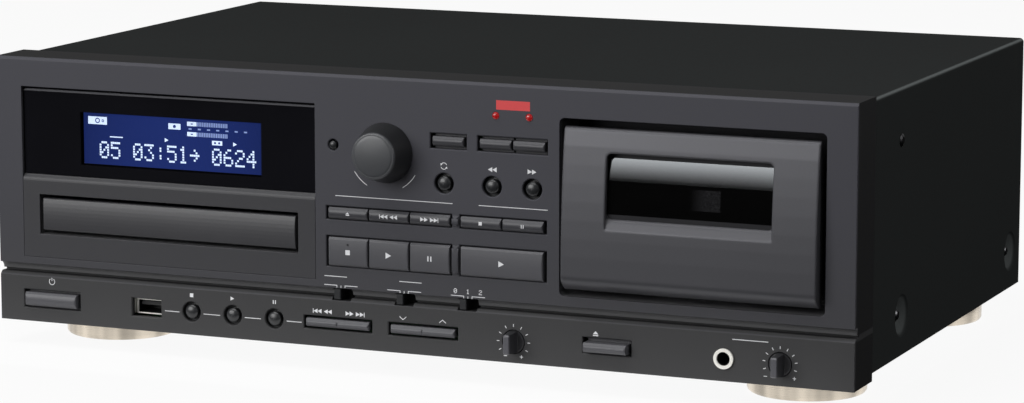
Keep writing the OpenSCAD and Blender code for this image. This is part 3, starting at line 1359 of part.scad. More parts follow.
module disc_tray() color("#2e2e32") at_face() {
    difference() {
        block([insert_x - tray_w / 2, tray_front_t, tray_z], [insert_x + tray_w / 2, tray_back_y, tray_top]);
        rod_z(insert_x, disc_y, well_r, tray_top - well_depth, tray_top + 1);
        rod_z(insert_x, disc_y, small_well_r, tray_top - well_depth - small_well_depth, tray_top);
        rod_z(insert_x, disc_y, tray_slot, tray_z - 1, tray_top);
        block([insert_x - tray_slot, disc_y, tray_z - 1],
            [insert_x + tray_slot, tray_back_y + 1, tray_top + 1]);
    }
    rack();
}

// Right half of the loader frame's section: base, wall and the two rails round the tray's edge
rail_low = tray_z - slide_gap;
rail_high = tray_top + slide_gap;
rail = [[0, loader_z - loader_base_t], [loader_w, loader_z - loader_base_t], [loader_w, rail_high + loader_t],
    [rail_in - rail_lap, rail_high + loader_t], [rail_in - rail_lap, rail_high], [rail_in, rail_high],
    [rail_in, rail_low], [rail_in - rail_lap, rail_low], [rail_in - rail_lap, rail_low - loader_t],
    [rail_in, rail_low - loader_t], [rail_in, loader_z], [0, loader_z]];

module loader_frame() color("#3a3a3e") at_face() {
    difference() {
        union() {
            translate([insert_x, 0, 0]) slab(concat(rail, [for (p = reversed(rail)) [-p[0], p[1]]]),
                loader_y, loader_back_y);
            for (s = [-1, 1], y = [loader_y + 8, loader_back_y - 8])
                rod_z(insert_x + s * (loader_w - post_r - 2), y, post_r, deck_z, loader_z - 0.5);
            rod_z(pinion_x, pinion_y, pinion_pin_r + 2, loader_z - 0.5, rack_z - slide_gap);
            rod_z(pinion_x, pinion_y, pinion_pin_r, loader_z - 0.5, tray_z - slide_gap);
            rod_z(insert_x, disc_y, disc_motor_r, loader_z - 0.5, loader_z + disc_motor_h);
            for (s = [-1, 1], y = [guide_y0, guide_y1 - 3.4]) translate([insert_x + s * guide_x, y, 0])
                block([-4, 0, loader_z - 0.5], [4, 3.4, guide_z + guide_r + 1.2]);
        }
        rod_z(insert_x, disc_y, disc_shaft_r + run_fit, deck_z, turntable_z);
    }
    for (s = [-1, 1]) rod_y(insert_x + s * guide_x, guide_z, guide_r, guide_y0, guide_y1);
}

base_r = pinion_r * cos(20);
tooth_half = 90 / pinion_teeth - backlash / 4 / pinion_r * 180 / PI;
// Involute function of a pressure angle, in degrees
function inv(a) = tan(a) * 180 / PI - a;
// Half angle of a pinion tooth at radius r
function tooth_angle(r) = tooth_half + inv(20) - inv(acos(base_r / max(r, base_r)));
// Flank of a tooth from root to tip: radius and half angle
flank = concat([[pinion_r - 1.25 * tooth_m, tooth_angle(base_r)]], [for (i = [0:tooth_n])
    let (r = base_r + (pinion_r + tooth_m - base_r) * i / tooth_n) [r, tooth_angle(r)]]);
// Outline of the pinion, both flanks of each tooth in turn
pinion = [for (k = [0:pinion_teeth - 1], s = [-1, 1], i = [0:tooth_n + 1])
    let (f = flank[s < 0 ? i : tooth_n + 1 - i], a = (k + 0.5) * 360 / pinion_teeth + s * f[1])
    f[0] * [cos(a), sin(a)]];

module loader_gear() color("#e0dfd8") at_face() translate([pinion_x, pinion_y, rack_z]) difference() {
    linear_extrude(rail_low - rack_z) polygon(pinion);
    cylinder(r = pinion_pin_r + run_fit, h = 4 * rack_h, center = true);
}

module disc_turntable() color("#27272a") at_face() translate([insert_x, disc_y, 0]) rotate_extrude() polygon([
    [0, loader_z + 0.5], [disc_shaft_r, loader_z + 0.5], [disc_shaft_r, turntable_z],
    [turntable_r, turntable_z], [turntable_r, turntable_z + turntable_t], [hub_r, turntable_z + turntable_t],
    [hub_r - 1.5, turntable_z + turntable_t + 1.6], [0, turntable_z + turntable_t + 1.6]]);

module optical_pickup() color("#5a5a60") at_face() difference() {
    union() {
        block([insert_x - guide_x - 4, pickup_y0, pickup_z0],
            [insert_x + guide_x + 4, pickup_y0 + pickup_l, pickup_z1]);
        rod_z(insert_x, pickup_y0 + 9, 4, pickup_z1 - 0.5, pickup_z1 + 2);
    }
    for (s = [-1, 1]) rod_y(insert_x + s * guide_x, guide_z, guide_r + run_fit, 0, body_d);
}

front_panel();
disc_bezel();
display_window();
display_module();
main_chassis();
top_cover();
cover_screws();
feet();
record_lamps();
usb_socket();
mic_jack();
rear_sockets();
mains_inlet();
circuit_boards();
power_transformer();
rec_level_knob();
pitch_knob();
mic_level_knob();
source_button();
rec_usb_button();
rec_tape_button();
repeat_button();
rewind_button();
fast_forward_button();
counter_reset_button();
open_close_button();
disc_back_button();
disc_forward_button();
tape_stop_button();
tape_pause_button();
disc_stop_button();
disc_play_button();
disc_pause_button();
tape_play_button();
power_button();
usb_stop_button();
usb_play_button();
usb_pause_button();
usb_skip_key();
folder_key();
eject_button();
start_source_switch();
start_mode_switch();
echo_switch();
cassette_door();
cassette_window();
cassette_holder();
tape_mech_plate();
supply_reel();
takeup_reel();
capstan_flywheel();
pinch_roller();
head_block();
capstan_motor();
tray_front();
disc_tray();
loader_frame();
loader_gear();
disc_turntable();
optical_pickup();
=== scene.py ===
"""Finishes, printed marks and studio stage for the disc and cassette deck."""
import math

import bmesh
import bpy
from bpy.props import FloatProperty, FloatVectorProperty, PointerProperty
from mathutils import Matrix, Vector


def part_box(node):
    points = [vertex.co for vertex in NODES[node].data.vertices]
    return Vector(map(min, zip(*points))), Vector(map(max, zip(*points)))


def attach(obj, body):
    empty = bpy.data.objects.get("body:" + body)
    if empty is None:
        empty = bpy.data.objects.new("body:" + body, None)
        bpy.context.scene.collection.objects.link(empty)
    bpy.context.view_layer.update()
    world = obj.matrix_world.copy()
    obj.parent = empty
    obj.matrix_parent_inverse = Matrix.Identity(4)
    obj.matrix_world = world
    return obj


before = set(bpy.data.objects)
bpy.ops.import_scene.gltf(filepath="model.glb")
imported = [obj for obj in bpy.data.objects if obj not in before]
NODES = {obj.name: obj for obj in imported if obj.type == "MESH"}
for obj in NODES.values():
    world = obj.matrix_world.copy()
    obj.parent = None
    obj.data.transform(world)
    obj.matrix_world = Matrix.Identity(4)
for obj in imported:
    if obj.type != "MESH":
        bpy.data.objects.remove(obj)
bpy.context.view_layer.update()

bl_info = {
    "name": "Disc and cassette deck",
    "version": (1, 0, 0),
    "blender": (4, 5, 0),
    "location": "3D View > Sidebar > Deck",
    "description": "Finishes, printed marks and stage for a disc and cassette deck",
    "category": "Object",
}

MM = 0.001
FACE_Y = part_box("disc_bezel")[0].y
BASE_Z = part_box("front_panel")[0].z

# Places, in millimetres across the panel, up it, and back or out from its face
# Display field: middle, width, height, depth behind the face; top of its window
FIELD_X, FIELD_Z, FIELD_W, FIELD_H, FIELD_IN = -124.1, 91.0, 96.0, 24.7, 4.0
WINDOW_TOP = 113.5
# Foot and lip of the groove, top and depth of the cove over it
GROOVE_Z, GROOVE_LIP_Z, COVE_Z, COVE_DEPTH = 22.3, 25.0, 28.6, 3.6
# Door, its pane's foot and bend, the felt pad's left, low, right and high edge
DOOR_X, DOOR_W, PANE_FOOT, PANE_BEND = 139.9, 121.6, 72.6, 88.0
PANE_PAD = (138.9, 76.8, 154.3, 86.2)
# Middles of the knobs; fronts of the knobs and mouths of the sockets
KNOB, PITCH_KNOB, LEVEL_KNOB = (-11.0, 93.8), (53.7, 9.9), (182.8, 9.9)
KNOB_OUT, GRIP_OUT, USB_IN, JACK_OUT = 13.0, 9.0, 4.0, 1.0
# Record knob's cap: steps from its middle to its rim, and round it
CAP_STEPS, CAP_SIDES = 12, 72
# Feet: distance from the middle, front row and rear row
FOOT_X, FOOT_FRONT, FOOT_REAR = 178.5, 51.0, 239.0
# Control board, top of the main board
BOARD_Y, BOARD_TOP = 14.0, 12.5
# Line sockets: middle, half pitch, plate; radii of shell and core
LINE_SOCKETS = (-140.0, 40.0, 7.0, 274.2)
SHELL_R, CORE_R = 4.3, 3.1

# Print on the panel: how deep it is sunk, arcs round the record knob
INK_SINK = 0.02
KNOB_ARC_R, KNOB_ARCS = 18.2, ((212, 240), (300, 328))
# Rules: left end, right end, height
RULES = (
    (-36.4, 23.3, 72.2), (36.4, 70.7, 72.2), (-127.3, -119.5, 10.6), (-106.5, -97.7, 10.6),
    (-84.5, -75.9, 10.6), (-62.4, -54.6, 10.6), (160.2, 177.2, 19.6), (-42.4, -30.8, 33.9),
    (-3.9, 7.5, 33.9),
)
# Chevrons: middles and ways, height, half width, half rise, upright width in rules
CHEVRONS, CHEVRON_Z = ((-2.1, -1), (18.1, 1)), 16.6
CHEVRON_HALF, CHEVRON_RISE, CHEVRON_LINE = 1.7, 0.7, 1.3
# Dials: ends and angles of the rays, places of the minus and plus signs
TICK_IN, TICK_OUT = 7.0, 8.3
DIALS = (
    (PITCH_KNOB, range(-30, 211, 30), 4.0, 6.8),
    (LEVEL_KNOB, range(-18, 199, 27), 6.8, 5.9),
)
PLUS_SIZE = 1.6
# Brackets over the switches: middles, ends of the arms, length of the ticks
BRACKETS = ((-33.9, 29.7), (-1.4, 29.5), (30.9, 29.4))
BRACKET_IN, BRACKET_OUT, BRACKET_DROP = 2.1, 8.6, 1.1
# Figures by the right switch; what keeps neighbouring marks from sharing walls
SWITCH_FIGURES, SWITCH_FIGURE_Z = (("0", 24.6), ("1", 30.9), ("2", 37.2)), 31.6
DOT_FILL, MARK_GAP = 0.96, 0.01
# Plate over the record keys: middle, width and height
RECORD_PLATE = (53.5, 119.2, 16.7, 4.3)

# Print on the display: how deep figures and signs are sunk, depth of the signs
FIGURE_SINK, SIGN_SINK, SIGN_DEPTH = 0.08, 0.055, 0.05
# Groups of figures and their first columns, height of the middles, columns to a figure
READINGS = (("05", -163.1), ("03:51>", -144.9), ("0624", -102.5))
READING_Z, FIGURE_COLUMNS = 85.8, 6
# Small arrows and the bar over the figures
POINTERS, POINTER_Z, POINTER_SIZE = (-127.2, -90.7), 92.4, 2.0
FIGURE_BAR = (-154.4, 92.3, 7.0, 0.5)
# Lit boxes: middle, width and height
DISC_BOX, LOOP_BOX = (-164.5, 99.8, 10.2, 3.7), (-122.9, 99.2, 6.5, 2.8)
REEL_BOX = (-100.2, 92.5, 5.4, 2.1)
LEVEL_BOXES = ((-113.6, 100.9, 5.0, 2.0), (-113.6, 96.0, 5.0, 2.0))
# Signs in them: rings' places, radii and lines, radii of the dots, half pitch, dash
DISC_RINGS = ((0.0, 1.05, 0.5), (2.9, 0.5, 0.4))
LOOP_DOT_R, REEL_DOT_R, REEL_HALF, LEVEL_DASH = 0.8, 0.55, 1.1, (1.2, 0.5)
# Level bars, and the scale between them: first place, distance, number, size
BAR_X, BAR_STEP, BARS, BAR_W = -110.6, 0.92, 18, 0.6
SCALE_X, SCALE_STEP, SCALE_MARKS, SCALE_Z, SCALE_MARK = -114.5, 4.9, 7, 98.5, (1.6, 0.7)

# Dots of the figures, row by row from the top
FIGURES = {
    "0": "01110 10001 10011 10101 11001 10001 01110",
    "1": "00100 01100 00100 00100 00100 00100 01110",
    "2": "01110 10001 00001 00110 01000 10000 11111",
    "3": "11111 00010 00100 00010 00001 10001 01110",
    "4": "00010 00110 01010 10010 11111 00010 00010",
    "5": "11111 10000 11110 00001 00001 10001 01110",
    "6": "00110 01000 10000 11110 10001 10001 01110",
    ":": "00000 00100 00100 00000 00100 00100 00000",
    ">": "00000 00100 00010 11111 00010 00100 00000",
}

# Stage, in metres: aim, places and sizes of the softboxes, floor, black cards
AIM = Vector((0.0, 0.0, 0.06))
SOFTBOXES = {
    "front": ((-1.32, -2.12, 0.96), (2.0, 1.55)),
    "high": ((-0.3, -0.75, 1.85), (1.7, 0.8)),
    "side": ((1.5, 0.05, 0.75), (1.0, 0.8)),
}
FLOOR_RADIUS, CARD_Z = 9.0, 0.003
CARDS = {"right_card": ((0.2185, -0.18), (4.0, 4.0)), "front_card": ((-5.0, -7.0), (4.0, -0.18))}
WHITE = (1.0, 1.0, 1.0, 1.0)
# Painted reflection on the pane's bent top, as a linear colour
PANE_REFLECTION = (0.0997, 0.105, 0.109)


def srgb(red, green, blue):
    """A colour given as 0 to 255 screen values, as the linear colour that shaders take."""
    parts = [value / 255 for value in (red, green, blue)]
    return [v / 12.92 if v <= 0.04045 else ((v + 0.055) / 1.055) ** 2.4 for v in parts]


def opaque(color, level=1.0):
    """A linear colour with its brightness scaled and full alpha."""
    return (color[0] * level, color[1] * level, color[2] * level, 1.0)


def tint(red, green, blue):
    """A screen colour with full alpha."""
    return opaque(srgb(red, green, blue))


def on_face(x, z, out):
    """A place in the frame from millimetres across the panel, up it and out from its face."""
    return Vector((x * MM, FACE_Y - out * MM, BASE_Z + z * MM))


def field_corners(spare):
    """Low and high corners of the display field, grown by some millimetres."""
    middle = on_face(FIELD_X, FIELD_Z, -FIELD_IN)
    half = Vector((FIELD_W / 2 + spare, 0.0, FIELD_H / 2 + spare)) * MM
    return middle - half, middle + half


def color_prop(name, description, red, green, blue):
    """A colour setting with a screen colour as its default."""
    return FloatVectorProperty(
        name=name, description=description, subtype="COLOR", size=3, min=0.0, max=1.0,
        default=srgb(red, green, blue))


def length_prop(name, description, millimetres):
    """A length setting with its default in millimetres."""
    return FloatProperty(
        name=name, description=description, unit="LENGTH", subtype="DISTANCE", min=0.0,
        default=millimetres * MM, precision=5)


def share_prop(name, description, default):
    """A setting between nought and one."""
    return FloatProperty(
        name=name, description=description, subtype="FACTOR", min=0.0, max=1.0, default=default)


def power_prop(name, description, watts):
    """A lamp's power."""
    return FloatProperty(name=name, description=description, unit="POWER", default=watts)


class DeckFinishes(bpy.types.PropertyGroup):
    """Colours and sheen of the deck's surfaces."""

    panel: color_prop("Panel", "Charcoal of the front panel", 70, 70, 76)
    panel_low: color_prop("Lower panel", "Charcoal under the groove", 62, 62, 63)
    bezel: color_prop("Bezel", "Charcoal round the disc tray", 60, 60, 63)
    # Painted shade: the dark colour painted into the panel's openings
    inner: color_prop("Inner plastic", "Plastic in the panel's openings", 32, 32, 33)
    # Painted light: the paler colour painted into the gaps round the door and the tray
    bay_light: color_prop("Bay", "Plastic round the door and the tray", 100, 100, 102)
    # Painted shade: the darker colour of the groove's slope under the lip
    groove: color_prop("Groove", "Plastic in the panel's groove", 52, 52, 53)
    panel_rough: share_prop("Panel roughness", "Roughness of the moulded front", 0.46)
    # Painted light and shade: one key plastic in two copies, the transport keys paler and the
    # narrow keys darker
    keys: color_prop("Keys", "Charcoal of the transport keys", 83, 83, 87)
    thin_keys: color_prop("Thin keys", "Charcoal of the narrow keys", 68, 68, 72)
    knobs: color_prop("Knobs", "Near black of the knobs", 40, 41, 43)
    grips: color_prop("Grips", "Dark grey of the small knobs", 58, 58, 62)
    door: color_prop("Door", "Charcoal of the cassette door", 77, 77, 81)
    cover: color_prop("Cover", "Matt black paint of the top cover", 39, 41, 41)
    cover_rough: share_prop("Cover roughness", "Roughness of the cover's paint", 0.62)
    feet: color_prop("Feet", "Champagne metal of the feet", 244, 232, 214)
    # Painted reflection: the sockets' shells painted near white, standing in for their shine
    socket_shine: color_prop("Trim", "Pale metal of the front's sockets", 250, 248, 241)
    glow: color_prop("Display", "Blue of the lit display", 29, 45, 106)
    dots: color_prop("Display dots", "Pale blue of the display's dots", 205, 222, 250)
    ink: color_prop("Ink", "Pale grey of the printed marks", 232, 233, 236)
    plate: color_prop("Record plate", "Red over the record keys", 224, 82, 84)
    lamp: color_prop("Lamps", "Red of the record lamps", 150, 16, 18)


class DeckMarks(bpy.types.PropertyGroup):
    """Sizes of the printed marks, the display's dots and the record knob's cap."""

    ink_depth: length_prop("Ink depth", "Thickness of the print", 0.06)
    crown: length_prop("Crown", "How far print reaches back into a bulging key", 0.16)
    rule: length_prop("Rule", "Width of a printed line", 0.32)
    sign: length_prop("Sign", "Height of a transport sign", 2.3)
    cap_radius: length_prop("Cap radius", "Radius of the record knob's cap", 10.5)
    cap_rise: length_prop("Cap rise", "Height of the record knob's cap", 0.75)
    cap_sink: length_prop("Cap sink", "Depth of the cap's rim in the knob", 0.12)
    dot: length_prop("Dot", "Size of a display dot", 0.92)
    dot_pitch_x: length_prop("Dot pitch across", "Distance of dots in a row", 1.02)
    dot_pitch_z: length_prop("Dot pitch up", "Distance of the rows of dots", 1.2)


class DeckStage(bpy.types.PropertyGroup):
    """Camera, lamps and floor."""

    camera: FloatVectorProperty(
        name="Camera", description="Place of the camera", size=3, subtype="TRANSLATION",
        unit="LENGTH", default=(0.710046, -1.670879, 0.361827))
    yaw: FloatProperty(
        name="Yaw", description="Turn of the camera", subtype="ANGLE", default=0.40389)
    pitch: FloatProperty(
        name="Pitch", description="Rise of the camera's view", subtype="ANGLE", default=-0.16286)
    lens: FloatProperty(
        name="Lens", description="Focal length", subtype="DISTANCE_CAMERA", default=130.6)
    front_power: power_prop("Front lamp", "Power of the front softbox", 49.0)
    high_power: power_prop("High lamp", "Power of the high softbox", 16.0)
    side_power: power_prop("Side lamp", "Power of the right softbox", 8.5)
    ambient: share_prop("Surround", "Level of the plain surround", 0.16)
    floor: color_prop("Floor", "Pale floor", 244, 244, 244)
    white: share_prop("Backdrop", "How white the floor shows", 0.92)


def operation(kind, swapped=False):
    """A method of a wire that adds a Math node."""
    def method(self, other=0.0):
        first, second = (other, self) if swapped else (self, other)
        return self.node("Math", {0: first, 1: second}, operation=kind)
    return method


class Wire:
    """One output of a shader node; arithmetic on it adds Math nodes to its tree."""

    def __init__(self, tree, socket=None):
        self.tree = tree
        self.socket = socket

    def node(self, kind, sockets, out=0, **settings):
        """Add a shader node, make its settings, then give its sockets values or links."""
        made = self.tree.nodes.new("ShaderNode" + kind)
        for name, value in settings.items():
            setattr(made, name, value)
        for name, value in sockets.items():
            if isinstance(value, Wire):
                self.tree.links.new(value.socket, made.inputs[name])
            else:
                made.inputs[name].default_value = value
        return Wire(self.tree, made.outputs[out] if len(made.outputs) else None)

    def output(self, out):
        """Another output of the same node."""
        return Wire(self.tree, self.socket.node.outputs[out])

    __add__ = __radd__ = operation("ADD")
    __sub__, __rsub__ = operation("SUBTRACT"), operation("SUBTRACT", swapped=True)
    __mul__ = __rmul__ = operation("MULTIPLY")
    __gt__, __lt__ = operation("GREATER_THAN"), operation("LESS_THAN")
    __abs__, __pow__ = operation("ABSOLUTE"), operation("POWER")
    arctan2 = operation("ARCTAN2")


def noise(here, scale, detail=2.0, rough=0.5):
    """Noise from nought to one over the surface, with its scale in waves per metre."""
    return here.node("TexNoise", {
        "Vector": here, "Scale": scale, "Detail": detail, "Roughness": rough})


def lines(value, detail, scale=1.0):
    """Noise along one value alone, for turned rings and streaks."""
    return value.node(
        "TexNoise", {"W": value, "Scale": scale, "Detail": detail}, noise_dimensions="1D")


def ramp(value, low, high, start=0.0, end=1.0):
    """A smooth step of the value between two levels."""
    return value.node("MapRange", {
        "Value": value, "From Min": low, "From Max": high, "To Min": start, "To Max": end},
        interpolation_type="SMOOTHSTEP")


def blend(share, first, second):
    """A colour between two others."""
    return share.node("Mix", {0: share, 6: first, 7: second}, out=2, data_type="RGBA")


def shade(share, color, low, high=1.0):
    """One colour between two levels of its brightness."""
    return blend(share, opaque(color, low), opaque(color, high))


def axes(here):
    """The three object coordinates, in metres."""
    across = here.node("SeparateXYZ", {"Vector": here})
    return across, across.output(1), across.output(2)


def bevelled(here, millimetres):
    """The surface normal with its sharp edges rounded."""
    return here.node("Bevel", {"Radius": millimetres * MM}, samples=6)


def edge_mask(here, rounded):
    """Where the rounded normal leaves the true one, which is along the edges."""
    normals = {0: rounded, 1: here.node("NewGeometry", {}, "True Normal")}
    facing = here.node("VectorMath", normals, "Value", operation="DOT_PRODUCT")
    return ramp(1 - facing, 0.02, 0.3)


def bump(height, millimetres, rounded=None):
    """A bump of the given depth, over a rounded normal if there is one."""
    sockets = {"Strength": 1.0, "Distance": millimetres * MM, "Height": height}
    if rounded is not None:
        sockets["Normal"] = rounded
    return height.node("Bump", sockets)


def empty_tree(owner):
    """The start of an empty shader tree in a material or a world."""
    owner.use_nodes = True
    owner.node_tree.nodes.clear()
    return Wire(owner.node_tree)


def material(name, paint):
    """A material whose shader takes what paint gives for the object's coordinates."""
    made = bpy.data.materials.new(name)
    here = empty_tree(made).node("TexCoord", {}, "Object")
    shader = here.node("BsdfPrincipled", paint(here))
    here.node("OutputMaterial", {"Surface": shader})
    return made


def coating(finish):
    """A finish that takes its settings now and the object's coordinates later."""
    return lambda *settings, **named: lambda here: finish(here, *settings, **named)


@coating
def moulded(here, color, rough, grain=900.0, depth=0.02, edge=0.35, specular=0.3, wear=0.25):
    """Moulded plastic: fine spark-eroded grain, faint clouding, and softened edges painted paler
    as a painted highlight.
    """
    rounded = bevelled(here, edge)
    fine = noise(here, grain, 3.0, 0.6)
    broad = noise(here, 14.0, 3.0)
    # Painted highlight: the rounded edges are painted paler, standing in for light catching them
    edge_highlight = edge_mask(here, rounded) * wear
    return {
        "Base Color": blend(edge_highlight, shade(broad, color, 0.94, 1.06), opaque(color, 1.9)),
        "Roughness": rough - 0.05 + 0.06 * fine + 0.05 * broad,
        "Specular IOR Level": specular,
        "Normal": bump(fine, depth, rounded),
    }


@coating
def panel_finish(here, look, upper, lower, inner, rough, specular):
    """The front's satin plastic, its groove, and painted shade and painted light in its openings
    and returns.
    """
    split, lip, cove = (BASE_Z + z * MM for z in (GROOVE_Z, GROOVE_LIP_Z, COVE_Z))
    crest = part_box("front_panel")[1].z - 0.5 * MM
    bay_half = (DOOR_W / 2 + 3) * MM
    fade = 70 * MM
    rounded = bevelled(here, 0.4)
    fine = noise(here, 1100.0, 3.0, 0.6)
    broad = noise(here, 9.0, 3.0)
    across, deep, up = axes(here)
    depth = deep - FACE_Y
    # The upper colour fades in over the groove, darker near it as painted shade, with faint clouds
    # and edges painted paler as a painted highlight
    high = (up > split) * ramp(up, split, split + fade, 0.4, 1.0)
    base = blend(high, opaque(lower), opaque(upper))
    base = blend(0.35 * high, base, shade(broad, upper, 0.93, 1.07))
    # Painted highlight on the edges, kept off near the groove
    edge_highlight = edge_mask(here, rounded) * ramp(abs(up - split), 1.0 * MM, 4.0 * MM, 0.0, 0.4)
    base = blend(edge_highlight, base, opaque(upper, 2.2))
    # Painted shade behind the face, with painted light round the door and darker painted shade
    # along the crest
    in_cove = (up > lip) * (up < cove) * (depth < COVE_DEPTH * MM)
    inside = ramp(depth, 1.0 * MM, 1.9 * MM) * (1 - in_cove)
    in_bay = (abs(across - DOOR_X * MM) < bay_half) * (up > cove)
    painted_recess_tone = blend(in_bay, opaque(inner), opaque(look.bay_light))
    painted_recess_tone = blend(up > crest, painted_recess_tone, opaque(inner, 0.8))
    base = blend(inside, base, painted_recess_tone)
    # Cove painted paler as painted light, groove painted darker as painted shade
    base = blend(in_cove * ramp(depth, 0.3 * MM, 1.8 * MM), base, opaque(lower, 2.2))
    in_groove = (up > split) * (up < lip) * ramp(depth, 0.2 * MM, 0.8 * MM)
    return {
        "Base Color": blend(in_groove, base, opaque(look.groove)),
        "Roughness": rough - 0.05 + 0.06 * fine + 0.04 * broad,
        "Specular IOR Level": specular,
        "Normal": bump(fine, 0.012, rounded),
    }


@coating
def painted(here, color, rough, box, dished=3.2, edge_highlight_level=2.4, folded=6.5):
    """Matt paint on folded steel: fine orange peel; painted highlights make the upper folds, the
    edges and the side dishes paler.
    """
    half, top = box[1].x, box[1].z
    fold_out, fold_in, dish_top = 0.5 * MM, 1.7 * MM, top - 6 * MM
    rounded = bevelled(here, 0.7)
    across, _, up = axes(here)
    inward = half - abs(across)
    # Painted highlight along the upper folds
    fold = ramp(inward, fold_in, fold_out) * ramp(up, top - fold_in, top - fold_out)
    # Painted light in the side dishes
    dish = ramp(inward, 0.3 * MM, 1.3 * MM) * (up < dish_top)
    peel = noise(here, 620.0)
    broad = noise(here, 6.0, 4.0)
    # Painted highlight on the edges
    edge_highlight = edge_mask(here, rounded) * 0.5
    base = blend(dish, shade(broad, color, 0.9, 1.1), opaque(color, dished))
    base = blend(edge_highlight, base, opaque(color, edge_highlight_level))
    return {
        "Base Color": blend(fold, base, opaque(color, folded)),
        "Roughness": rough + 0.08 * peel,
        "Specular IOR Level": 0.04,
        "Normal": bump(peel, 0.03, rounded),
    }


@coating
def plated(here, color, rough):
    """Plated or drawn metal with faint lines along its grain."""
    rounded = bevelled(here, 0.3)
    brushed = here.node("Mapping", {"Vector": here, "Scale": (40.0, 900.0, 900.0)})
    drawn = noise(brushed, 1.0, 3.0, 0.65)
    broad = noise(here, 30.0, 3.0)
    return {
        "Base Color": shade(broad, color, 0.88),
        "Metallic": 1.0,
        "Roughness": rough - 0.06 + 0.14 * drawn,
        "Normal": bump(drawn, 0.006, rounded),
    }


@coating
def spun(here, color, rough, middles=None):
    """Metal turned on a lathe: fine rings up its side; round the feet's axes light and dark
    streaks as a painted reflection, elsewhere random streaks of tone.
    """
    rounded = bevelled(here, 0.5)
    across, deep, up = axes(here)
    rings = lines(up * 2600.0, 3.0)
    streak = noise(here, 40.0)
    if middles:
        half, front, rear = middles
        row = front + (rear - front) * (deep > (front + rear) / 2)
        turn = (deep - row).arctan2(abs(across) - half)
        # Painted reflection: the added turn picks which part of each foot is painted bright
        streak = ramp(lines(turn + 7.0, 2.0, 1.7), 0.3, 0.7)
    return {
        "Base Color": shade(streak, color, 0.5),
        "Metallic": 0.85,
        "Roughness": rough - 0.05 + 0.12 * rings,
        "Normal": bump(rings, 0.01, rounded),
    }


@coating
def knob_finish(here, color, x, z, out, side, front):
    """Knob: faint rings round its middle, a side painted darker as painted shade and a satin front
    painted paler as painted light.
    """
    middle = on_face(x, z, out)
    rounded = bevelled(here, 0.5)
    across, deep, up = axes(here)
    radius = ((across - middle.x) ** 2.0 + (up - middle.z) ** 2.0) ** 0.5
    rings = lines(radius * 5200.0, 2.0)
    face = ramp(deep, middle.y + 1.6 * MM, middle.y + 0.8 * MM)
    return {
        # Painted light and shade: one plastic, darker on the side and paler on the front
        "Base Color": shade(face, color, side, front),
        "Roughness": 0.32 + 0.08 * rings,
        "Specular IOR Level": 0.6,
        "Normal": bump(rings, 0.01, rounded),
    }


@coating
def door_finish(here, color):
    """Metallic lacquer on the cassette door, with fine flake, and black on its hinge pins."""
    side = (DOOR_W / 2 + 0.1) * MM
    rounded = bevelled(here, 1.5)
    flake = noise(here, 2400.0, 2.0, 0.7)
    broad = noise(here, 12.0, 3.0)
    # Painted highlight: the door's rounded edges are painted paler
    edge_highlight = edge_mask(here, rounded) * 0.25
    base = blend(edge_highlight, shade(flake, color, 0.88, 1.12), opaque(color, 1.7))
    pin = abs(axes(here)[0] - DOOR_X * MM) > side
    return {
        "Base Color": blend(pin, base, tint(10, 10, 11)),
        "Metallic": 0.36,
        "Roughness": 0.32 + 0.06 * flake + 0.05 * broad,
        "Specular IOR Level": 0.36,
        "Normal": bump(flake, 0.006, rounded),
    }


@coating
def window_finish(here, low, high):
    """Gloss black window with a painted highlight along its upper edge, clear only over the
    display behind it.
    """
    rim_z = BASE_Z + WINDOW_TOP * MM
    soft = 0.4 * MM
    across, _, up = axes(here)
    clear = (ramp(across, low.x - soft, low.x + soft) * ramp(across, high.x + soft, high.x - soft)
             * ramp(up, low.z - soft, low.z + soft) * ramp(up, high.z + soft, high.z - soft))
    haze = noise(here, 30.0, 3.0)
    # Painted highlight: a pale line along the window's top edge
    rim = ramp(up, rim_z - 0.9 * MM, rim_z - 0.6 * MM) * (up < rim_z + 0.05 * MM)
    gloss = blend(haze, tint(16, 16, 19), tint(22, 22, 26))
    return {
        "Base Color": blend(rim, gloss, tint(96, 96, 100)),
        "Roughness": 0.07 + 0.05 * haze,
        "Specular IOR Level": 0.1,
        "Alpha": 1 - 0.9 * clear,
    }


@coating
def display_finish(here, glow, low, high):
    """Lit display: blue field inside its dark frame, a little brighter towards its middle."""
    middle = (low + high) / 2
    half = (high - low) / 2
    across, _, up = axes(here)
    field = (abs(across - middle.x) < half.x) * (abs(up - middle.z) < half.z)
    fall = ((across - middle.x) * (1 / half.x)) ** 2.0
    pixels = noise(here, 1500.0, 1.0)
    lit = blend(0.12 * pixels, shade(fall, glow, 1.12, 0.8), opaque(glow, 0.6))
    return {
        "Base Color": blend(field, tint(7, 7, 8), tint(8, 10, 22)),
        "Roughness": 0.4 + 0.2 * pixels,
        "Specular IOR Level": 0.02,
        "Emission Color": blend(field, (0.0, 0.0, 0.0, 1.0), lit),
        "Emission Strength": 1.0,
    }


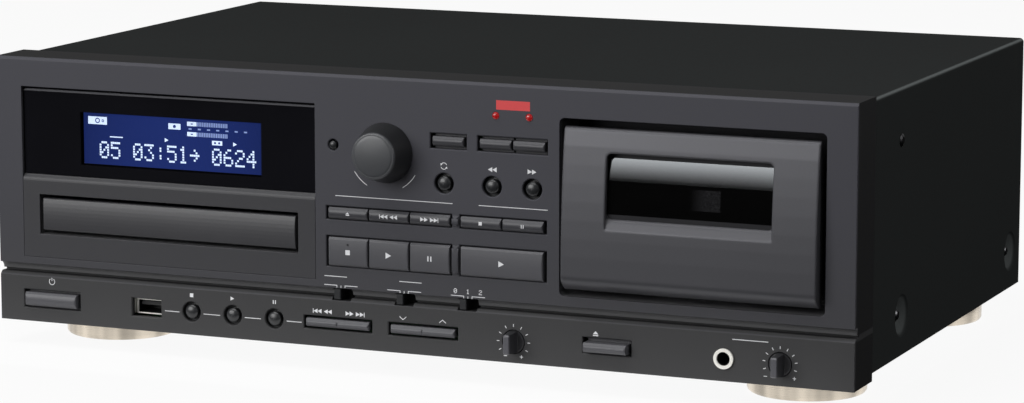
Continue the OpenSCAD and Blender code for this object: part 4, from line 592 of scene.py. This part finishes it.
@coating
def pane_finish(here, color, band):
    """Smoked pane, nearly black: a painted reflection on its bent top, paler foot, and a felt pad
    showing through.
    """
    edge_z, bend_z = BASE_Z + PANE_FOOT * MM, BASE_Z + PANE_BEND * MM
    left, low, right, high = PANE_PAD
    pad_fade = 9
    haze = noise(here, 60.0, 3.0)
    wave = noise(here, 18.0, 1.0)
    felt = noise(here, 2600.0, 3.0)
    across, _, up = axes(here)
    foot = ramp(up, edge_z + 0.2 * MM, edge_z - 0.2 * MM)
    bent = ramp(up, bend_z - 0.5 * MM, bend_z + 0.3 * MM)
    # Painted reflection: the bent top turns metallic, its reflection growing up the bend
    sheen = ramp(up, bend_z - 0.3 * MM, bend_z + 15 * MM, 0.03, 1.0)
    pad = (ramp(across, left * MM, (left + pad_fade) * MM) * (across < right * MM)
           * (up > BASE_Z + low * MM) * (up < BASE_Z + high * MM))
    tone = shade(haze, color, 0.9, 1.1)
    tone = blend(pad * ramp(felt, 0.2, 0.8), tone, tint(46, 46, 48))
    tone = blend(bent * sheen, tone, opaque(PANE_REFLECTION))
    return {
        "Base Color": blend(foot, tone, opaque(band)),
        "Metallic": bent,
        "Roughness": 0.06 + 0.03 * haze,
        "Specular IOR Level": 0.1,
        "Alpha": 0.92 + 0.06 * haze,
        "Normal": bump(wave, 0.02),
    }


@coating
def lamp_finish(here, color):
    """Red lens with its lit middle."""
    cloud = noise(here, 700.0)
    return {
        "Base Color": shade(cloud, color, 0.8),
        "Roughness": 0.16 + 0.1 * cloud,
        "Coat Weight": 0.4 + 0.2 * cloud,
        "Emission Color": shade(cloud, color, 0.3, 0.6),
        "Emission Strength": 1.0,
    }


@coating
def socket_finish(here, x, z, half, plate_y):
    """Line sockets: dark plate, plated shells and coloured insulators."""
    middle = on_face(x, z, 0.0)
    back = FACE_Y + (plate_y + 0.2) * MM
    rounded = bevelled(here, 0.25)
    across, deep, up = axes(here)
    radius = (abs(abs(across - middle.x) - half * MM) ** 2.0
              + abs(abs(up - middle.z) - half * MM) ** 2.0) ** 0.5
    shell = (radius < SHELL_R * MM) * (deep > back)
    insulator = shell * (radius < CORE_R * MM)
    metal = shell - insulator
    right = across > middle.x
    grain = noise(here, 800.0, 3.0)
    core = blend(right, tint(225, 224, 218), tint(176, 28, 30))
    base = blend(metal, tint(30, 30, 33), tint(205, 200, 188))
    return {
        "Base Color": blend(insulator, base, core),
        "Metallic": metal,
        "Roughness": 0.5 - 0.22 * metal + 0.08 * grain,
        "Normal": bump(grain, 0.01, rounded),
    }


@coating
def board_finish(here):
    """Circuit boards: green mask with copper tracks, and dark parts standing on them."""
    main_top, control_y = BASE_Z + BOARD_TOP * MM, FACE_Y + BOARD_Y * MM
    _, deep, up = axes(here)
    grid = here.node("TexBrick", {
        "Vector": here, "Scale": 90.0, "Color1": tint(16, 46, 26), "Color2": tint(19, 54, 30),
        "Mortar": tint(34, 80, 44), "Mortar Size": 0.03}, offset=0.5)
    tall = (up > main_top) * (deep > control_y + 20 * MM)
    front = deep < control_y - 0.2 * MM
    tone = noise(here, 120.0)
    dark = blend(tone, tint(24, 24, 27), tint(52, 53, 58))
    return {
        "Base Color": blend(tall + front, grid, dark),
        "Roughness": 0.42 + 0.15 * tone,
        "Normal": bump(tone, 0.05),
    }


@coating
def transformer_finish(here, box):
    """Stacked steel plates with a wound, taped coil through them."""
    low, high = box
    depth = (high.y - low.y) * 0.1
    _, deep, _ = axes(here)
    layers = here.node("TexWave", {
        "Vector": here, "Scale": 320.0, "Distortion": 0.4, "Detail": 1.0},
        wave_type="BANDS", bands_direction="Z")
    coil = (deep < low.y + depth) + (deep > high.y - depth)
    plates = blend(layers, tint(70, 70, 72), tint(132, 132, 134))
    tape = blend(layers, tint(168, 126, 40), tint(196, 152, 60))
    return {
        "Base Color": blend(coil, plates, tape),
        "Metallic": 0.8 - 0.8 * coil,
        "Roughness": 0.38 + 0.15 * layers,
        "Normal": bump(layers, 0.06),
    }


@coating
def port_finish(here, metal, mouth):
    """Socket in the front: shell painted near white as a painted reflection, and painted shade
    inside its mouth.
    """
    rounded = bevelled(here, 0.2)
    _, deep, _ = axes(here)
    # Painted shade: darker inside the mouth
    inside = ramp(deep, mouth + 0.5 * MM, mouth + 1.4 * MM)
    grain = noise(here, 900.0)
    return {
        "Base Color": blend(inside, opaque(metal), tint(22, 22, 24)),
        "Metallic": 0.12 - 0.12 * inside,
        "Roughness": 0.26 + 0.1 * grain + 0.2 * inside,
        "Normal": bump(grain, 0.008, rounded),
    }


@coating
def printed(here, color, glow=0.0):
    """Screen-printed ink, a little uneven."""
    mottle = noise(here, 1600.0)
    return {
        "Base Color": shade(mottle, color, 0.9),
        "Roughness": 0.5 + 0.15 * mottle,
        "Specular IOR Level": 0.25,
        "Emission Color": shade(mottle, color, 0.92),
        "Emission Strength": glow,
    }


def dress(paint, name, *nodes):
    """One material on several CAD nodes."""
    made = material(name, paint)
    for node in nodes:
        mesh = NODES[node].data
        mesh.materials.clear()
        mesh.materials.append(made)


def add_mesh(name, mesh, coat):
    """A mesh with its material, as an object of the scene."""
    data = bpy.data.meshes.new(name)
    mesh.to_mesh(data)
    mesh.free()
    data.materials.append(coat)
    made = bpy.data.objects.new(name, data)
    bpy.context.scene.collection.objects.link(made)
    return made


def piece(name, mesh, coat, body):
    """A mesh as a piece of the deck, riding on one of its bodies."""
    made = add_mesh(name, mesh, coat)
    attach(made, body)


def verts_of(grown):
    """The vertices among what a bmesh operator made."""
    return [part for part in grown["geom"] if isinstance(part, bmesh.types.BMVert)]


class Print:
    """Flat shapes printed on a face that looks towards the front, in millimetres."""

    def __init__(self, out, depth):
        self.mesh = bmesh.new()
        self.out = out
        self.depth = depth

    def turn(self, x, z, angle=0.0):
        """The printing plane at a place, turned anticlockwise as seen from the front."""
        return (Matrix.Translation(on_face(x, z, self.out))
                @ Matrix.Rotation(math.pi / 2, 4, "X") @ Matrix.Rotation(angle, 4, "Z"))

    def patch(self, x, z, width, height, angle=0.0):
        """A filled rectangle about its middle."""
        size = Matrix.Diagonal((width * MM, height * MM, 1, 1))
        place = self.turn(x, z, angle) @ size
        bmesh.ops.create_grid(self.mesh, x_segments=1, y_segments=1, size=0.5, matrix=place)

    def rule(self, start, end, width):
        """A straight line between two places."""
        run = Vector(end) - Vector(start)
        middle = (Vector(end) + Vector(start)) / 2
        self.patch(middle.x, middle.y, run.length, width, math.atan2(run.y, run.x))

    def edge(self, middle, half):
        """A new edge that reaches as far to both sides of its middle."""
        return self.mesh.edges.new([self.mesh.verts.new(middle + way * half) for way in (-1, 1)])

    def bent_rule(self, places, height):
        """A line through several places, with the same upright height all along."""
        edge = self.edge(on_face(*places[0], self.out), Vector((0, 0, height / 2 * MM)))
        for start, end in zip(places, places[1:]):
            ends = verts_of(bmesh.ops.extrude_edge_only(self.mesh, edges=[edge]))
            edge = self.mesh.edges.get(ends)
            bmesh.ops.translate(self.mesh, verts=ends, vec=on_face(*end, 0) - on_face(*start, 0))

    def arrow(self, x, z, length, width, angle=0.0):
        """A filled triangle that points along the angle."""
        size = Matrix.Diagonal((width * MM / math.sqrt(3), length * MM / 1.5, 1, 1))
        centred = Matrix.Translation((0, -length * MM / 6, 0))
        bmesh.ops.create_circle(
            self.mesh, cap_ends=True, segments=3, radius=1.0,
            matrix=self.turn(x, z, angle - math.pi / 2) @ centred @ size)

    def dot(self, x, z, radius):
        """A filled disc."""
        bmesh.ops.create_circle(
            self.mesh, cap_ends=True, segments=20, radius=radius * MM, matrix=self.turn(x, z))

    def arc(self, x, z, radius, first, last, width):
        """A line bent round a place, between two angles in degrees."""
        middle = on_face(x, z, self.out)
        start = math.radians(first)
        run = Vector((math.cos(start), 0, math.sin(start))) * MM
        edge = self.edge(middle + run * radius, run * width / 2)
        turn = last - first
        bmesh.ops.spin(
            self.mesh, geom=[*edge.verts, edge], cent=middle, axis=(0, -1, 0),
            angle=math.radians(turn), steps=max(2, int(turn / 6)), use_merge=turn >= 360)

    def figure(self, sign, x, z, step_x, step_z, dot):
        """A figure in square dots about its middle."""
        for row, line in enumerate(FIGURES[sign].split()):
            for column, lit in enumerate(line):
                if lit == "1":
                    self.patch(x + (column - 2) * step_x, z + (3 - row) * step_z, dot, dot)

    def finish(self, name, coat, body, slot):
        """Raise the shapes by the ink's depth and make them a piece that rides on a body."""
        raised = bmesh.ops.extrude_face_region(self.mesh, geom=self.mesh.faces[:])
        bmesh.ops.translate(self.mesh, vec=(0, -self.depth, 0), verts=verts_of(raised))
        bmesh.ops.recalc_face_normals(self.mesh, faces=self.mesh.faces[:])
        piece(name, self.mesh, coat, body)


def sign_stop(sheet, x, z, size):
    """A square."""
    sheet.patch(x, z, size, size)


def sign_play(sheet, x, z, size):
    """An arrow."""
    sheet.arrow(x, z, size * 1.05, size * 1.1)


def sign_pause(sheet, x, z, size):
    """Two upright bars."""
    for side in (-1, 1):
        sheet.patch(x + side * size * 0.3, z, size * 0.26, size)


def sign_wind(sheet, x, z, size, way):
    """Two arrows one behind the other."""
    for step in (-0.5, 0.5):
        sheet.arrow(x + step * size * 0.95, z, size * 0.95, size, 0.0 if way > 0 else math.pi)


def sign_skip(sheet, x, z, size, way):
    """A bar with two arrows, then two arrows more."""
    half = size * 4.5 / 2
    sheet.patch(x + way * (half - size * 0.08), z, size * 0.16, size)
    sign_wind(sheet, x + way * (half - size * 1.12), z, size, way)
    sign_wind(sheet, x - way * (half - size * 0.95), z, size, way)


def sign_open(sheet, x, z, size):
    """An upward arrow over a bar."""
    sheet.arrow(x, z + size * 0.2, size * 0.62, size * 1.15, math.pi / 2)
    sheet.patch(x, z - size * 0.36, size * 1.15, size * 0.22)


def sign_power(sheet, x, z, size, line):
    """An open ring with a stroke in its gap."""
    sheet.arc(x, z, size / 2, 125, 415, line)
    sheet.rule((x, z + size * 0.1), (x, z + size * 0.62), line)


def sign_repeat(sheet, x, z, size, line):
    """Two bent arrows that follow each other."""
    radius = size / 2
    for start in (20, 200):
        sheet.arc(x, z, radius, start, start + 118, line)
        tip = math.radians(start + 138)
        sheet.arrow(x + radius * math.cos(tip), z + radius * math.sin(tip), size * 0.32,
                    size * 0.36, tip + math.pi / 2)


# Signs on the panel: middle, size against the usual sign, and the way that it points
PANEL_SIGNS = (
    (sign_wind, 43.2, 89.2, 1.0, -1),
    (sign_wind, 62.9, 89.3, 1.0, 1),
    (sign_stop, -112.8, 19.2, 0.8),
    (sign_play, -91.0, 19.2, 0.8),
    (sign_pause, -68.8, 19.2, 0.8),
    (sign_skip, -43.7, 16.7, 0.95, -1),
    (sign_skip, -26.7, 16.6, 0.95, 1),
    (sign_open, 94.3, 16.9, 1.0),
)
RING_SIGNS = ((sign_repeat, 19.0, 89.4, 3.0), (sign_power, -189.0, 20.2, 3.0))

# Signs on the keys: size against the usual sign, and the way that it points
KEY_SIGNS = (
    ("open_close_button", sign_open, 0.7),
    ("disc_back_button", sign_skip, 0.88, -1),
    ("disc_forward_button", sign_skip, 0.88, 1),
    ("tape_stop_button", sign_stop, 0.7),
    ("tape_pause_button", sign_pause, 0.7),
    ("disc_stop_button", sign_stop, 1.0),
    ("disc_play_button", sign_play, 1.15),
    ("disc_pause_button", sign_pause, 1.05),
    ("tape_play_button", sign_play, 1.15),
)
# Dark spot: its key, its height over the key's middle, its radius
SPOT_KEY, SPOT_RISE, SPOT_R = "disc_stop_button", 3.6, 0.5


class DECK_OT_casing(bpy.types.Operator):
    """Finish the front panel, cover, chassis, feet and screws"""

    bl_idname = "deck.casing"
    bl_label = "Casing finishes"

    def execute(self, context):
        look = context.scene.deck_finishes
        dress(panel_finish(look, look.panel, look.panel_low, look.inner, look.panel_rough, 0.2),
              "panel_plastic", "front_panel")
        # The bezel's openings take the bay's painted light
        dress(panel_finish(look, look.bezel, look.bezel, look.bay_light, look.panel_rough - 0.06, 0.3),
              "bezel_plastic", "disc_bezel")
        dress(moulded(look.bezel, 0.36, depth=0.008, specular=0.65), "tray_plastic", "tray_front")
        dress(door_finish(look.door), "door_lacquer", "cassette_door")
        dress(painted(look.cover, look.cover_rough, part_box("top_cover")), "cover_paint",
              "top_cover")
        dress(plated(srgb(150, 151, 154), 0.42), "chassis_zinc", "main_chassis")
        rows = FOOT_X * MM, FACE_Y + FOOT_FRONT * MM, FACE_Y + FOOT_REAR * MM
        dress(spun(look.feet, 0.28, rows), "foot_metal", "feet")
        dress(plated(srgb(92, 92, 94), 0.3), "screw_steel", "cover_screws")
        return {"FINISHED"}


class DECK_OT_controls(bpy.types.Operator):
    """Finish the keys, buttons, knobs, switches and sockets of the front"""

    bl_idname = "deck.controls"
    bl_label = "Control finishes"

    def execute(self, context):
        look = context.scene.deck_finishes
        # Paler copy of the key plastic, painted light
        dress(moulded(look.keys, 0.36, edge=0.3, specular=0.34), "key_plastic",
              "disc_stop_button", "disc_play_button", "disc_pause_button", "tape_play_button",
              "power_button", "eject_button", "usb_skip_key", "folder_key")
        # Darker copy of the key plastic, painted shade
        dress(moulded(look.thin_keys, 0.36, edge=0.3, specular=0.34), "thin_key_plastic",
              "source_button", "rec_usb_button", "rec_tape_button", "open_close_button",
              "disc_back_button", "disc_forward_button", "tape_stop_button", "tape_pause_button")
        dress(moulded(look.knobs, 0.28, grain=1400.0, depth=0.006, specular=0.55),
              "button_plastic", "repeat_button", "rewind_button", "fast_forward_button",
              "counter_reset_button", "usb_stop_button", "usb_play_button", "usb_pause_button")
        # Knob sides painted darker and fronts paler: painted shade and painted light
        dress(knob_finish(look.knobs, *KNOB, KNOB_OUT, 0.6, 2.75), "rec_knob_plastic",
              "rec_level_knob")
        for node, place in (("pitch_knob", PITCH_KNOB), ("mic_level_knob", LEVEL_KNOB)):
            dress(knob_finish(look.grips, *place, GRIP_OUT, 0.55, 1.9), node + "_plastic", node)
        dress(moulded(look.knobs, 0.4, depth=0.008), "switch_plastic", "start_source_switch",
              "start_mode_switch", "echo_switch")
        dress(lamp_finish(look.lamp), "lamp_lens", "record_lamps")
        # Shells painted near white as a painted reflection, dark inside as painted shade
        dress(port_finish(look.socket_shine, FACE_Y + USB_IN * MM), "usb_shell", "usb_socket")
        dress(port_finish(look.socket_shine, FACE_Y - JACK_OUT * MM), "jack_metal", "mic_jack")
        return {"FINISHED"}


class DECK_OT_knob_cap(bpy.types.Operator):
    """Turn the shallow dome on the record knob's face"""

    bl_idname = "deck.knob_cap"
    bl_label = "Knob cap"

    def execute(self, context):
        look, marks = context.scene.deck_finishes, context.scene.deck_marks
        middle = on_face(*KNOB, KNOB_OUT)
        mesh = bmesh.new()
        dome = marks.cap_rise + marks.cap_sink
        outline = [(marks.cap_radius * share, marks.cap_rise - dome * share ** 2)
                   for share in (step / CAP_STEPS for step in range(CAP_STEPS + 1))]
        foot = -marks.cap_sink - marks.ink_depth
        outline += [(marks.cap_radius, foot), (0.0, foot)]
        points = [mesh.verts.new(middle + Vector((radius, -rise, 0.0)))
                  for radius, rise in outline]
        edges = [mesh.edges.new(pair) for pair in zip(points, points[1:])]
        bmesh.ops.spin(
            mesh, geom=points + edges, cent=middle, axis=(0, -1, 0), angle=math.tau,
            steps=CAP_SIDES, use_merge=True)
        bmesh.ops.remove_doubles(mesh, verts=mesh.verts[:], dist=marks.ink_depth / 10)
        bmesh.ops.recalc_face_normals(mesh, faces=mesh.faces[:])
        for face in mesh.faces:
            face.smooth = abs(face.normal.y) > 0.9
        # The cap is painted all over at the front's paler painted-light level
        coat = material("knob_cap_plastic", knob_finish(look.knobs, *KNOB, KNOB_OUT, 2.75, 2.75))
        piece("knob_cap", mesh, coat, "rec_level_knob")
        return {"FINISHED"}


class DECK_OT_windows(bpy.types.Operator):
    """Finish the display, its window and the cassette window"""

    bl_idname = "deck.windows"
    bl_label = "Window finishes"

    def execute(self, context):
        look = context.scene.deck_finishes
        dress(window_finish(*field_corners(0.4)), "window_gloss", "display_window")
        dress(display_finish(look.glow, *field_corners(0.0)), "display_field", "display_module")
        dress(pane_finish(srgb(7, 7, 7), srgb(50, 50, 52)), "cassette_pane", "cassette_window")
        return {"FINISHED"}


class DECK_OT_inside(bpy.types.Operator):
    """Finish the disc loader, the cassette transport, the boards and the back"""

    bl_idname = "deck.inside"
    bl_label = "Inner finishes"

    def execute(self, context):
        dress(moulded(srgb(44, 44, 47), 0.5), "dark_plastic", "cassette_holder", "disc_tray",
              "loader_frame")
        dress(moulded(srgb(214, 213, 206), 0.42, wear=0.0), "pale_plastic", "supply_reel",
              "takeup_reel", "loader_gear")
        dress(plated(srgb(44, 44, 46), 0.5), "transport_plate", "tape_mech_plate")
        dress(plated(srgb(150, 150, 154), 0.34), "transport_steel", "capstan_motor", "head_block")
        dress(spun(srgb(190, 180, 160), 0.24), "flywheel_brass", "capstan_flywheel")
        dress(moulded(srgb(26, 26, 28), 0.7, grain=1500.0, specular=0.2), "rubber",
              "pinch_roller", "disc_turntable")
        dress(plated(srgb(120, 122, 128), 0.38), "pickup_alloy", "optical_pickup")
        dress(board_finish(), "circuit_board", "circuit_boards")
        dress(transformer_finish(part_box("power_transformer")), "transformer_plates",
              "power_transformer")
        dress(socket_finish(*LINE_SOCKETS), "line_socket", "rear_sockets")
        dress(moulded(srgb(26, 26, 29), 0.45), "inlet_plastic", "mains_inlet")
        return {"FINISHED"}


class DECK_OT_display(bpy.types.Operator):
    """Draw the display's figures, level bars and small marks"""

    bl_idname = "deck.display"
    bl_label = "Display figures"

    def execute(self, context):
        look, marks = context.scene.deck_finishes, context.scene.deck_marks
        # Figures, the pointers over them and the lit boxes
        sheet = Print(-FIELD_IN - FIGURE_SINK, marks.ink_depth)
        step_x, step_z = marks.dot_pitch_x / MM, marks.dot_pitch_z / MM
        for text, left in READINGS:
            for place, sign in enumerate(text):
                x = left + (place * FIGURE_COLUMNS + 2) * step_x
                sheet.figure(sign, x, READING_Z, step_x, step_z, marks.dot / MM)
        for x in POINTERS:
            sheet.arrow(x, POINTER_Z, POINTER_SIZE, POINTER_SIZE)
        for box in (FIGURE_BAR, DISC_BOX, LOOP_BOX, REEL_BOX, *LEVEL_BOXES):
            sheet.patch(*box)
        coat = material("display_dots", printed(look.dots, 0.78))
        sheet.finish("display_figures", coat, "cabinet", "display")
        # Dark rings, dots and dashes in the lit boxes
        sheet = Print(-FIELD_IN - SIGN_SINK, SIGN_DEPTH * MM)
        for step, radius, line in DISC_RINGS:
            sheet.arc(DISC_BOX[0] + step, DISC_BOX[1], radius, 0, 360, line)
        sheet.dot(*LOOP_BOX[:2], LOOP_DOT_R)
        for side in (-1, 1):
            sheet.dot(REEL_BOX[0] + side * REEL_HALF, REEL_BOX[1], REEL_DOT_R)
        for x, z, _, _ in LEVEL_BOXES:
            sheet.patch(x, z, *LEVEL_DASH)
        coat = material("display_sign", printed(look.glow, 1.0))
        sheet.finish("display_signs", coat, "cabinet", "display")
        # Level bars and the scale between them
        sheet = Print(-FIELD_IN - FIGURE_SINK, marks.ink_depth)
        for _, z, _, height in LEVEL_BOXES:
            for place in range(BARS):
                sheet.patch(BAR_X + place * BAR_STEP, z, BAR_W, height)
        for place in range(SCALE_MARKS):
            sheet.patch(SCALE_X + place * SCALE_STEP, SCALE_Z, *SCALE_MARK)
        coat = material("display_bar", printed(srgb(120, 138, 186), 0.85))
        sheet.finish("display_bars", coat, "cabinet", "display")
        return {"FINISHED"}


class DECK_OT_panel_print(bpy.types.Operator):
    """Print the rules, arcs, ticks and signs on the front panel"""

    bl_idname = "deck.panel_print"
    bl_label = "Panel print"

    def execute(self, context):
        look, marks = context.scene.deck_finishes, context.scene.deck_marks
        line = marks.rule / MM
        sheet = Print(-INK_SINK, marks.ink_depth)
        for first, last in KNOB_ARCS:
            sheet.arc(*KNOB, KNOB_ARC_R, first, last, line)
        for left, right, z in RULES:
            sheet.rule((left, z), (right, z), line)
        for draw, x, z, size, *way in PANEL_SIGNS:
            draw(sheet, x, z, marks.sign / MM * size, *way)
        for draw, x, z, size in RING_SIGNS:
            draw(sheet, x, z, size, line)
        for x, way in CHEVRONS:
            low, high = (CHEVRON_Z + side * way * CHEVRON_RISE for side in (-1, 1))
            ends = ((x - CHEVRON_HALF, low), (x, high), (x + CHEVRON_HALF, low))
            sheet.bent_rule(ends, line * CHEVRON_LINE)
        for dial in DIALS:
            self.dial(sheet, line, *dial)
        for x, z in BRACKETS:
            self.bracket(sheet, line, x, z)
        for sign, x in SWITCH_FIGURES:
            sheet.figure(sign, x, SWITCH_FIGURE_Z, line, line, line * DOT_FILL)
        ink = material("panel_ink", printed(look.ink))
        sheet.finish("panel_marks", ink, "cabinet", "panel_plastic")
        plate = Print(-INK_SINK, marks.ink_depth)
        plate.patch(*RECORD_PLATE)
        ink = material("record_plate_ink", printed(look.plate))
        plate.finish("record_plate", ink, "cabinet", "panel_plastic")
        return {"FINISHED"}

    def dial(self, sheet, line, place, angles, side, drop):
        """Rays round a small knob, a minus sign at its left and a plus sign at its right."""
        for angle in map(math.radians, angles):
            way = Vector((math.cos(angle), math.sin(angle)))
            sheet.rule(Vector(place) + way * TICK_IN, Vector(place) + way * TICK_OUT, line)
        x, z = place
        stub = (PLUS_SIZE - line) / 2 - MARK_GAP
        for way in (-1, 1):
            sheet.patch(x + way * side, z - drop, PLUS_SIZE, line)
            sheet.patch(x + side, z - drop + way * (PLUS_SIZE - stub) / 2, line, stub)

    def bracket(self, sheet, line, x, z):
        """Two arms over a slide switch, with a tick for each of its three places."""
        for side in (-1, 1):
            arm = BRACKET_IN + MARK_GAP + line / 2
            sheet.rule((x + side * arm, z), (x + side * BRACKET_OUT, z), line)
            corner = x + side * BRACKET_IN
            sheet.rule((corner, z + line / 2), (corner, z - BRACKET_DROP), line)
        sheet.rule((x, z), (x, z - BRACKET_DROP), line)


class DECK_OT_key_print(bpy.types.Operator):
    """Print the transport signs on the keys that carry them"""

    bl_idname = "deck.key_print"
    bl_label = "Key print"

    def execute(self, context):
        look, marks = context.scene.deck_finishes, context.scene.deck_marks
        ink = material("key_ink", printed(look.ink))
        for key, draw, size, *way in KEY_SIGNS:
            low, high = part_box(key)
            x = (low.x + high.x) / 2 / MM
            z = ((low.z + high.z) / 2 - BASE_Z) / MM
            face = (FACE_Y - low.y - marks.crown) / MM, marks.crown + marks.ink_depth
            sheet = Print(*face)
            draw(sheet, x, z, marks.sign / MM * size, *way)
            sheet.finish("sign_" + key, ink, key, "key_plastic")
            if key == SPOT_KEY:
                spot = Print(*face)
                spot.dot(x, z + SPOT_RISE, SPOT_R)
                dark = material("spot_ink", printed(srgb(30, 30, 31)))
                spot.finish("spot_" + key, dark, key, "key_plastic")
        return {"FINISHED"}


class DECK_OT_stage(bpy.types.Operator):
    """Lay the floor, hang the softboxes and set the camera"""

    bl_idname = "deck.stage"
    bl_label = "Stage"

    def execute(self, context):
        scene, stage = context.scene, context.scene.deck_stage
        scene.view_settings.view_transform = "Standard"
        self.floor(stage)
        for name, (place, size) in SOFTBOXES.items():
            self.softbox(scene, name + "_softbox", place, size, getattr(stage, name + "_power"))
        for name, (low, high) in CARDS.items():
            self.card(name, low, high)
        scene.world = bpy.data.worlds.new("studio")
        start = empty_tree(scene.world)
        plain = start.node("Background", {"Color": WHITE, "Strength": stage.ambient})
        start.node("OutputWorld", {"Surface": plain})
        lens = bpy.data.cameras.new("camera")
        lens.sensor_fit = "HORIZONTAL"
        lens.sensor_width = 36.0
        lens.lens = stage.lens
        camera = bpy.data.objects.new("camera", lens)
        camera.location = stage.camera
        camera.rotation_euler = (math.pi / 2 + stage.pitch, 0.0, stage.yaw)
        scene.collection.objects.link(camera)
        scene.camera = camera
        return {"FINISHED"}

    def floor(self, stage):
        """A wide round floor, white to the eye and still shaded under the deck."""
        made = bpy.data.materials.new("floor")
        start = empty_tree(made)
        ray = start.node("LightPath", {}, "Is Camera Ray")
        seen = ray + ray.output("Is Glossy Ray") + ray.output("Is Transmission Ray")
        plain = start.node("BsdfDiffuse", {"Color": opaque(stage.floor)})
        white = start.node("Emission", {"Color": WHITE, "Strength": 1.0})
        mixed = start.node("MixShader", {0: seen * stage.white, 1: plain, 2: white})
        start.node("OutputMaterial", {"Surface": mixed})
        mesh = bmesh.new()
        bmesh.ops.create_circle(mesh, cap_ends=True, segments=64, radius=FLOOR_RADIUS)
        floor = add_mesh("floor", mesh, made)

    def card(self, name, low, high):
        """A black card on the floor, out of the camera's sight, that darkens the faces over it."""
        middle = ((low[0] + high[0]) / 2, (low[1] + high[1]) / 2, CARD_Z)
        size = Matrix.Diagonal((high[0] - low[0], high[1] - low[1], 1, 1))
        mesh = bmesh.new()
        place = Matrix.Translation(middle) @ size
        bmesh.ops.create_grid(mesh, x_segments=1, y_segments=1, size=0.5, matrix=place)
        felt = material(name + "_felt", moulded(srgb(12, 12, 12), 0.9, specular=0.0))
        card = add_mesh(name, mesh, felt)
        card.visible_camera = False
        card.visible_shadow = False

    def softbox(self, scene, name, place, size, power):
        """A rectangular lamp turned to the deck."""
        lamp = bpy.data.lights.new(name, "AREA")
        lamp.shape = "RECTANGLE"
        lamp.size, lamp.size_y = size
        lamp.energy = power
        holder = bpy.data.objects.new(name, lamp)
        holder.location = place
        holder.rotation_euler = (AIM - Vector(place)).to_track_quat("-Z", "Y").to_euler()
        scene.collection.objects.link(holder)


OPERATORS = (
    DECK_OT_stage, DECK_OT_casing, DECK_OT_controls, DECK_OT_knob_cap, DECK_OT_windows,
    DECK_OT_inside, DECK_OT_display, DECK_OT_panel_print, DECK_OT_key_print,
)


class DECK_PT_sidebar(bpy.types.Panel):
    """Lists the deck's steps in the sidebar"""

    bl_idname = "DECK_PT_sidebar"
    bl_label = "Disc and cassette deck"
    bl_space_type = "VIEW_3D"
    bl_region_type = "UI"
    bl_category = "Deck"

    def draw(self, context):
        for step in OPERATORS:
            self.layout.operator(step.bl_idname)


GROUPS = {"deck_finishes": DeckFinishes, "deck_marks": DeckMarks, "deck_stage": DeckStage}


def register():
    """Register the settings, the steps and the sidebar."""
    for kind in (*GROUPS.values(), *OPERATORS, DECK_PT_sidebar):
        bpy.utils.register_class(kind)
    for name, group in GROUPS.items():
        setattr(bpy.types.Scene, name, PointerProperty(type=group))


def unregister():
    """Take away what register added."""
    for name in GROUPS:
        delattr(bpy.types.Scene, name)
    for kind in (DECK_PT_sidebar, *OPERATORS, *GROUPS.values()):
        bpy.utils.unregister_class(kind)


def main():
    """Make every step in order."""
    register()
    bpy.ops.deck.stage()
    bpy.ops.deck.casing()
    bpy.ops.deck.controls()
    bpy.ops.deck.knob_cap()
    bpy.ops.deck.windows()
    bpy.ops.deck.inside()
    bpy.ops.deck.display()
    bpy.ops.deck.panel_print()
    bpy.ops.deck.key_print()


if __name__ == "__main__":
    main()
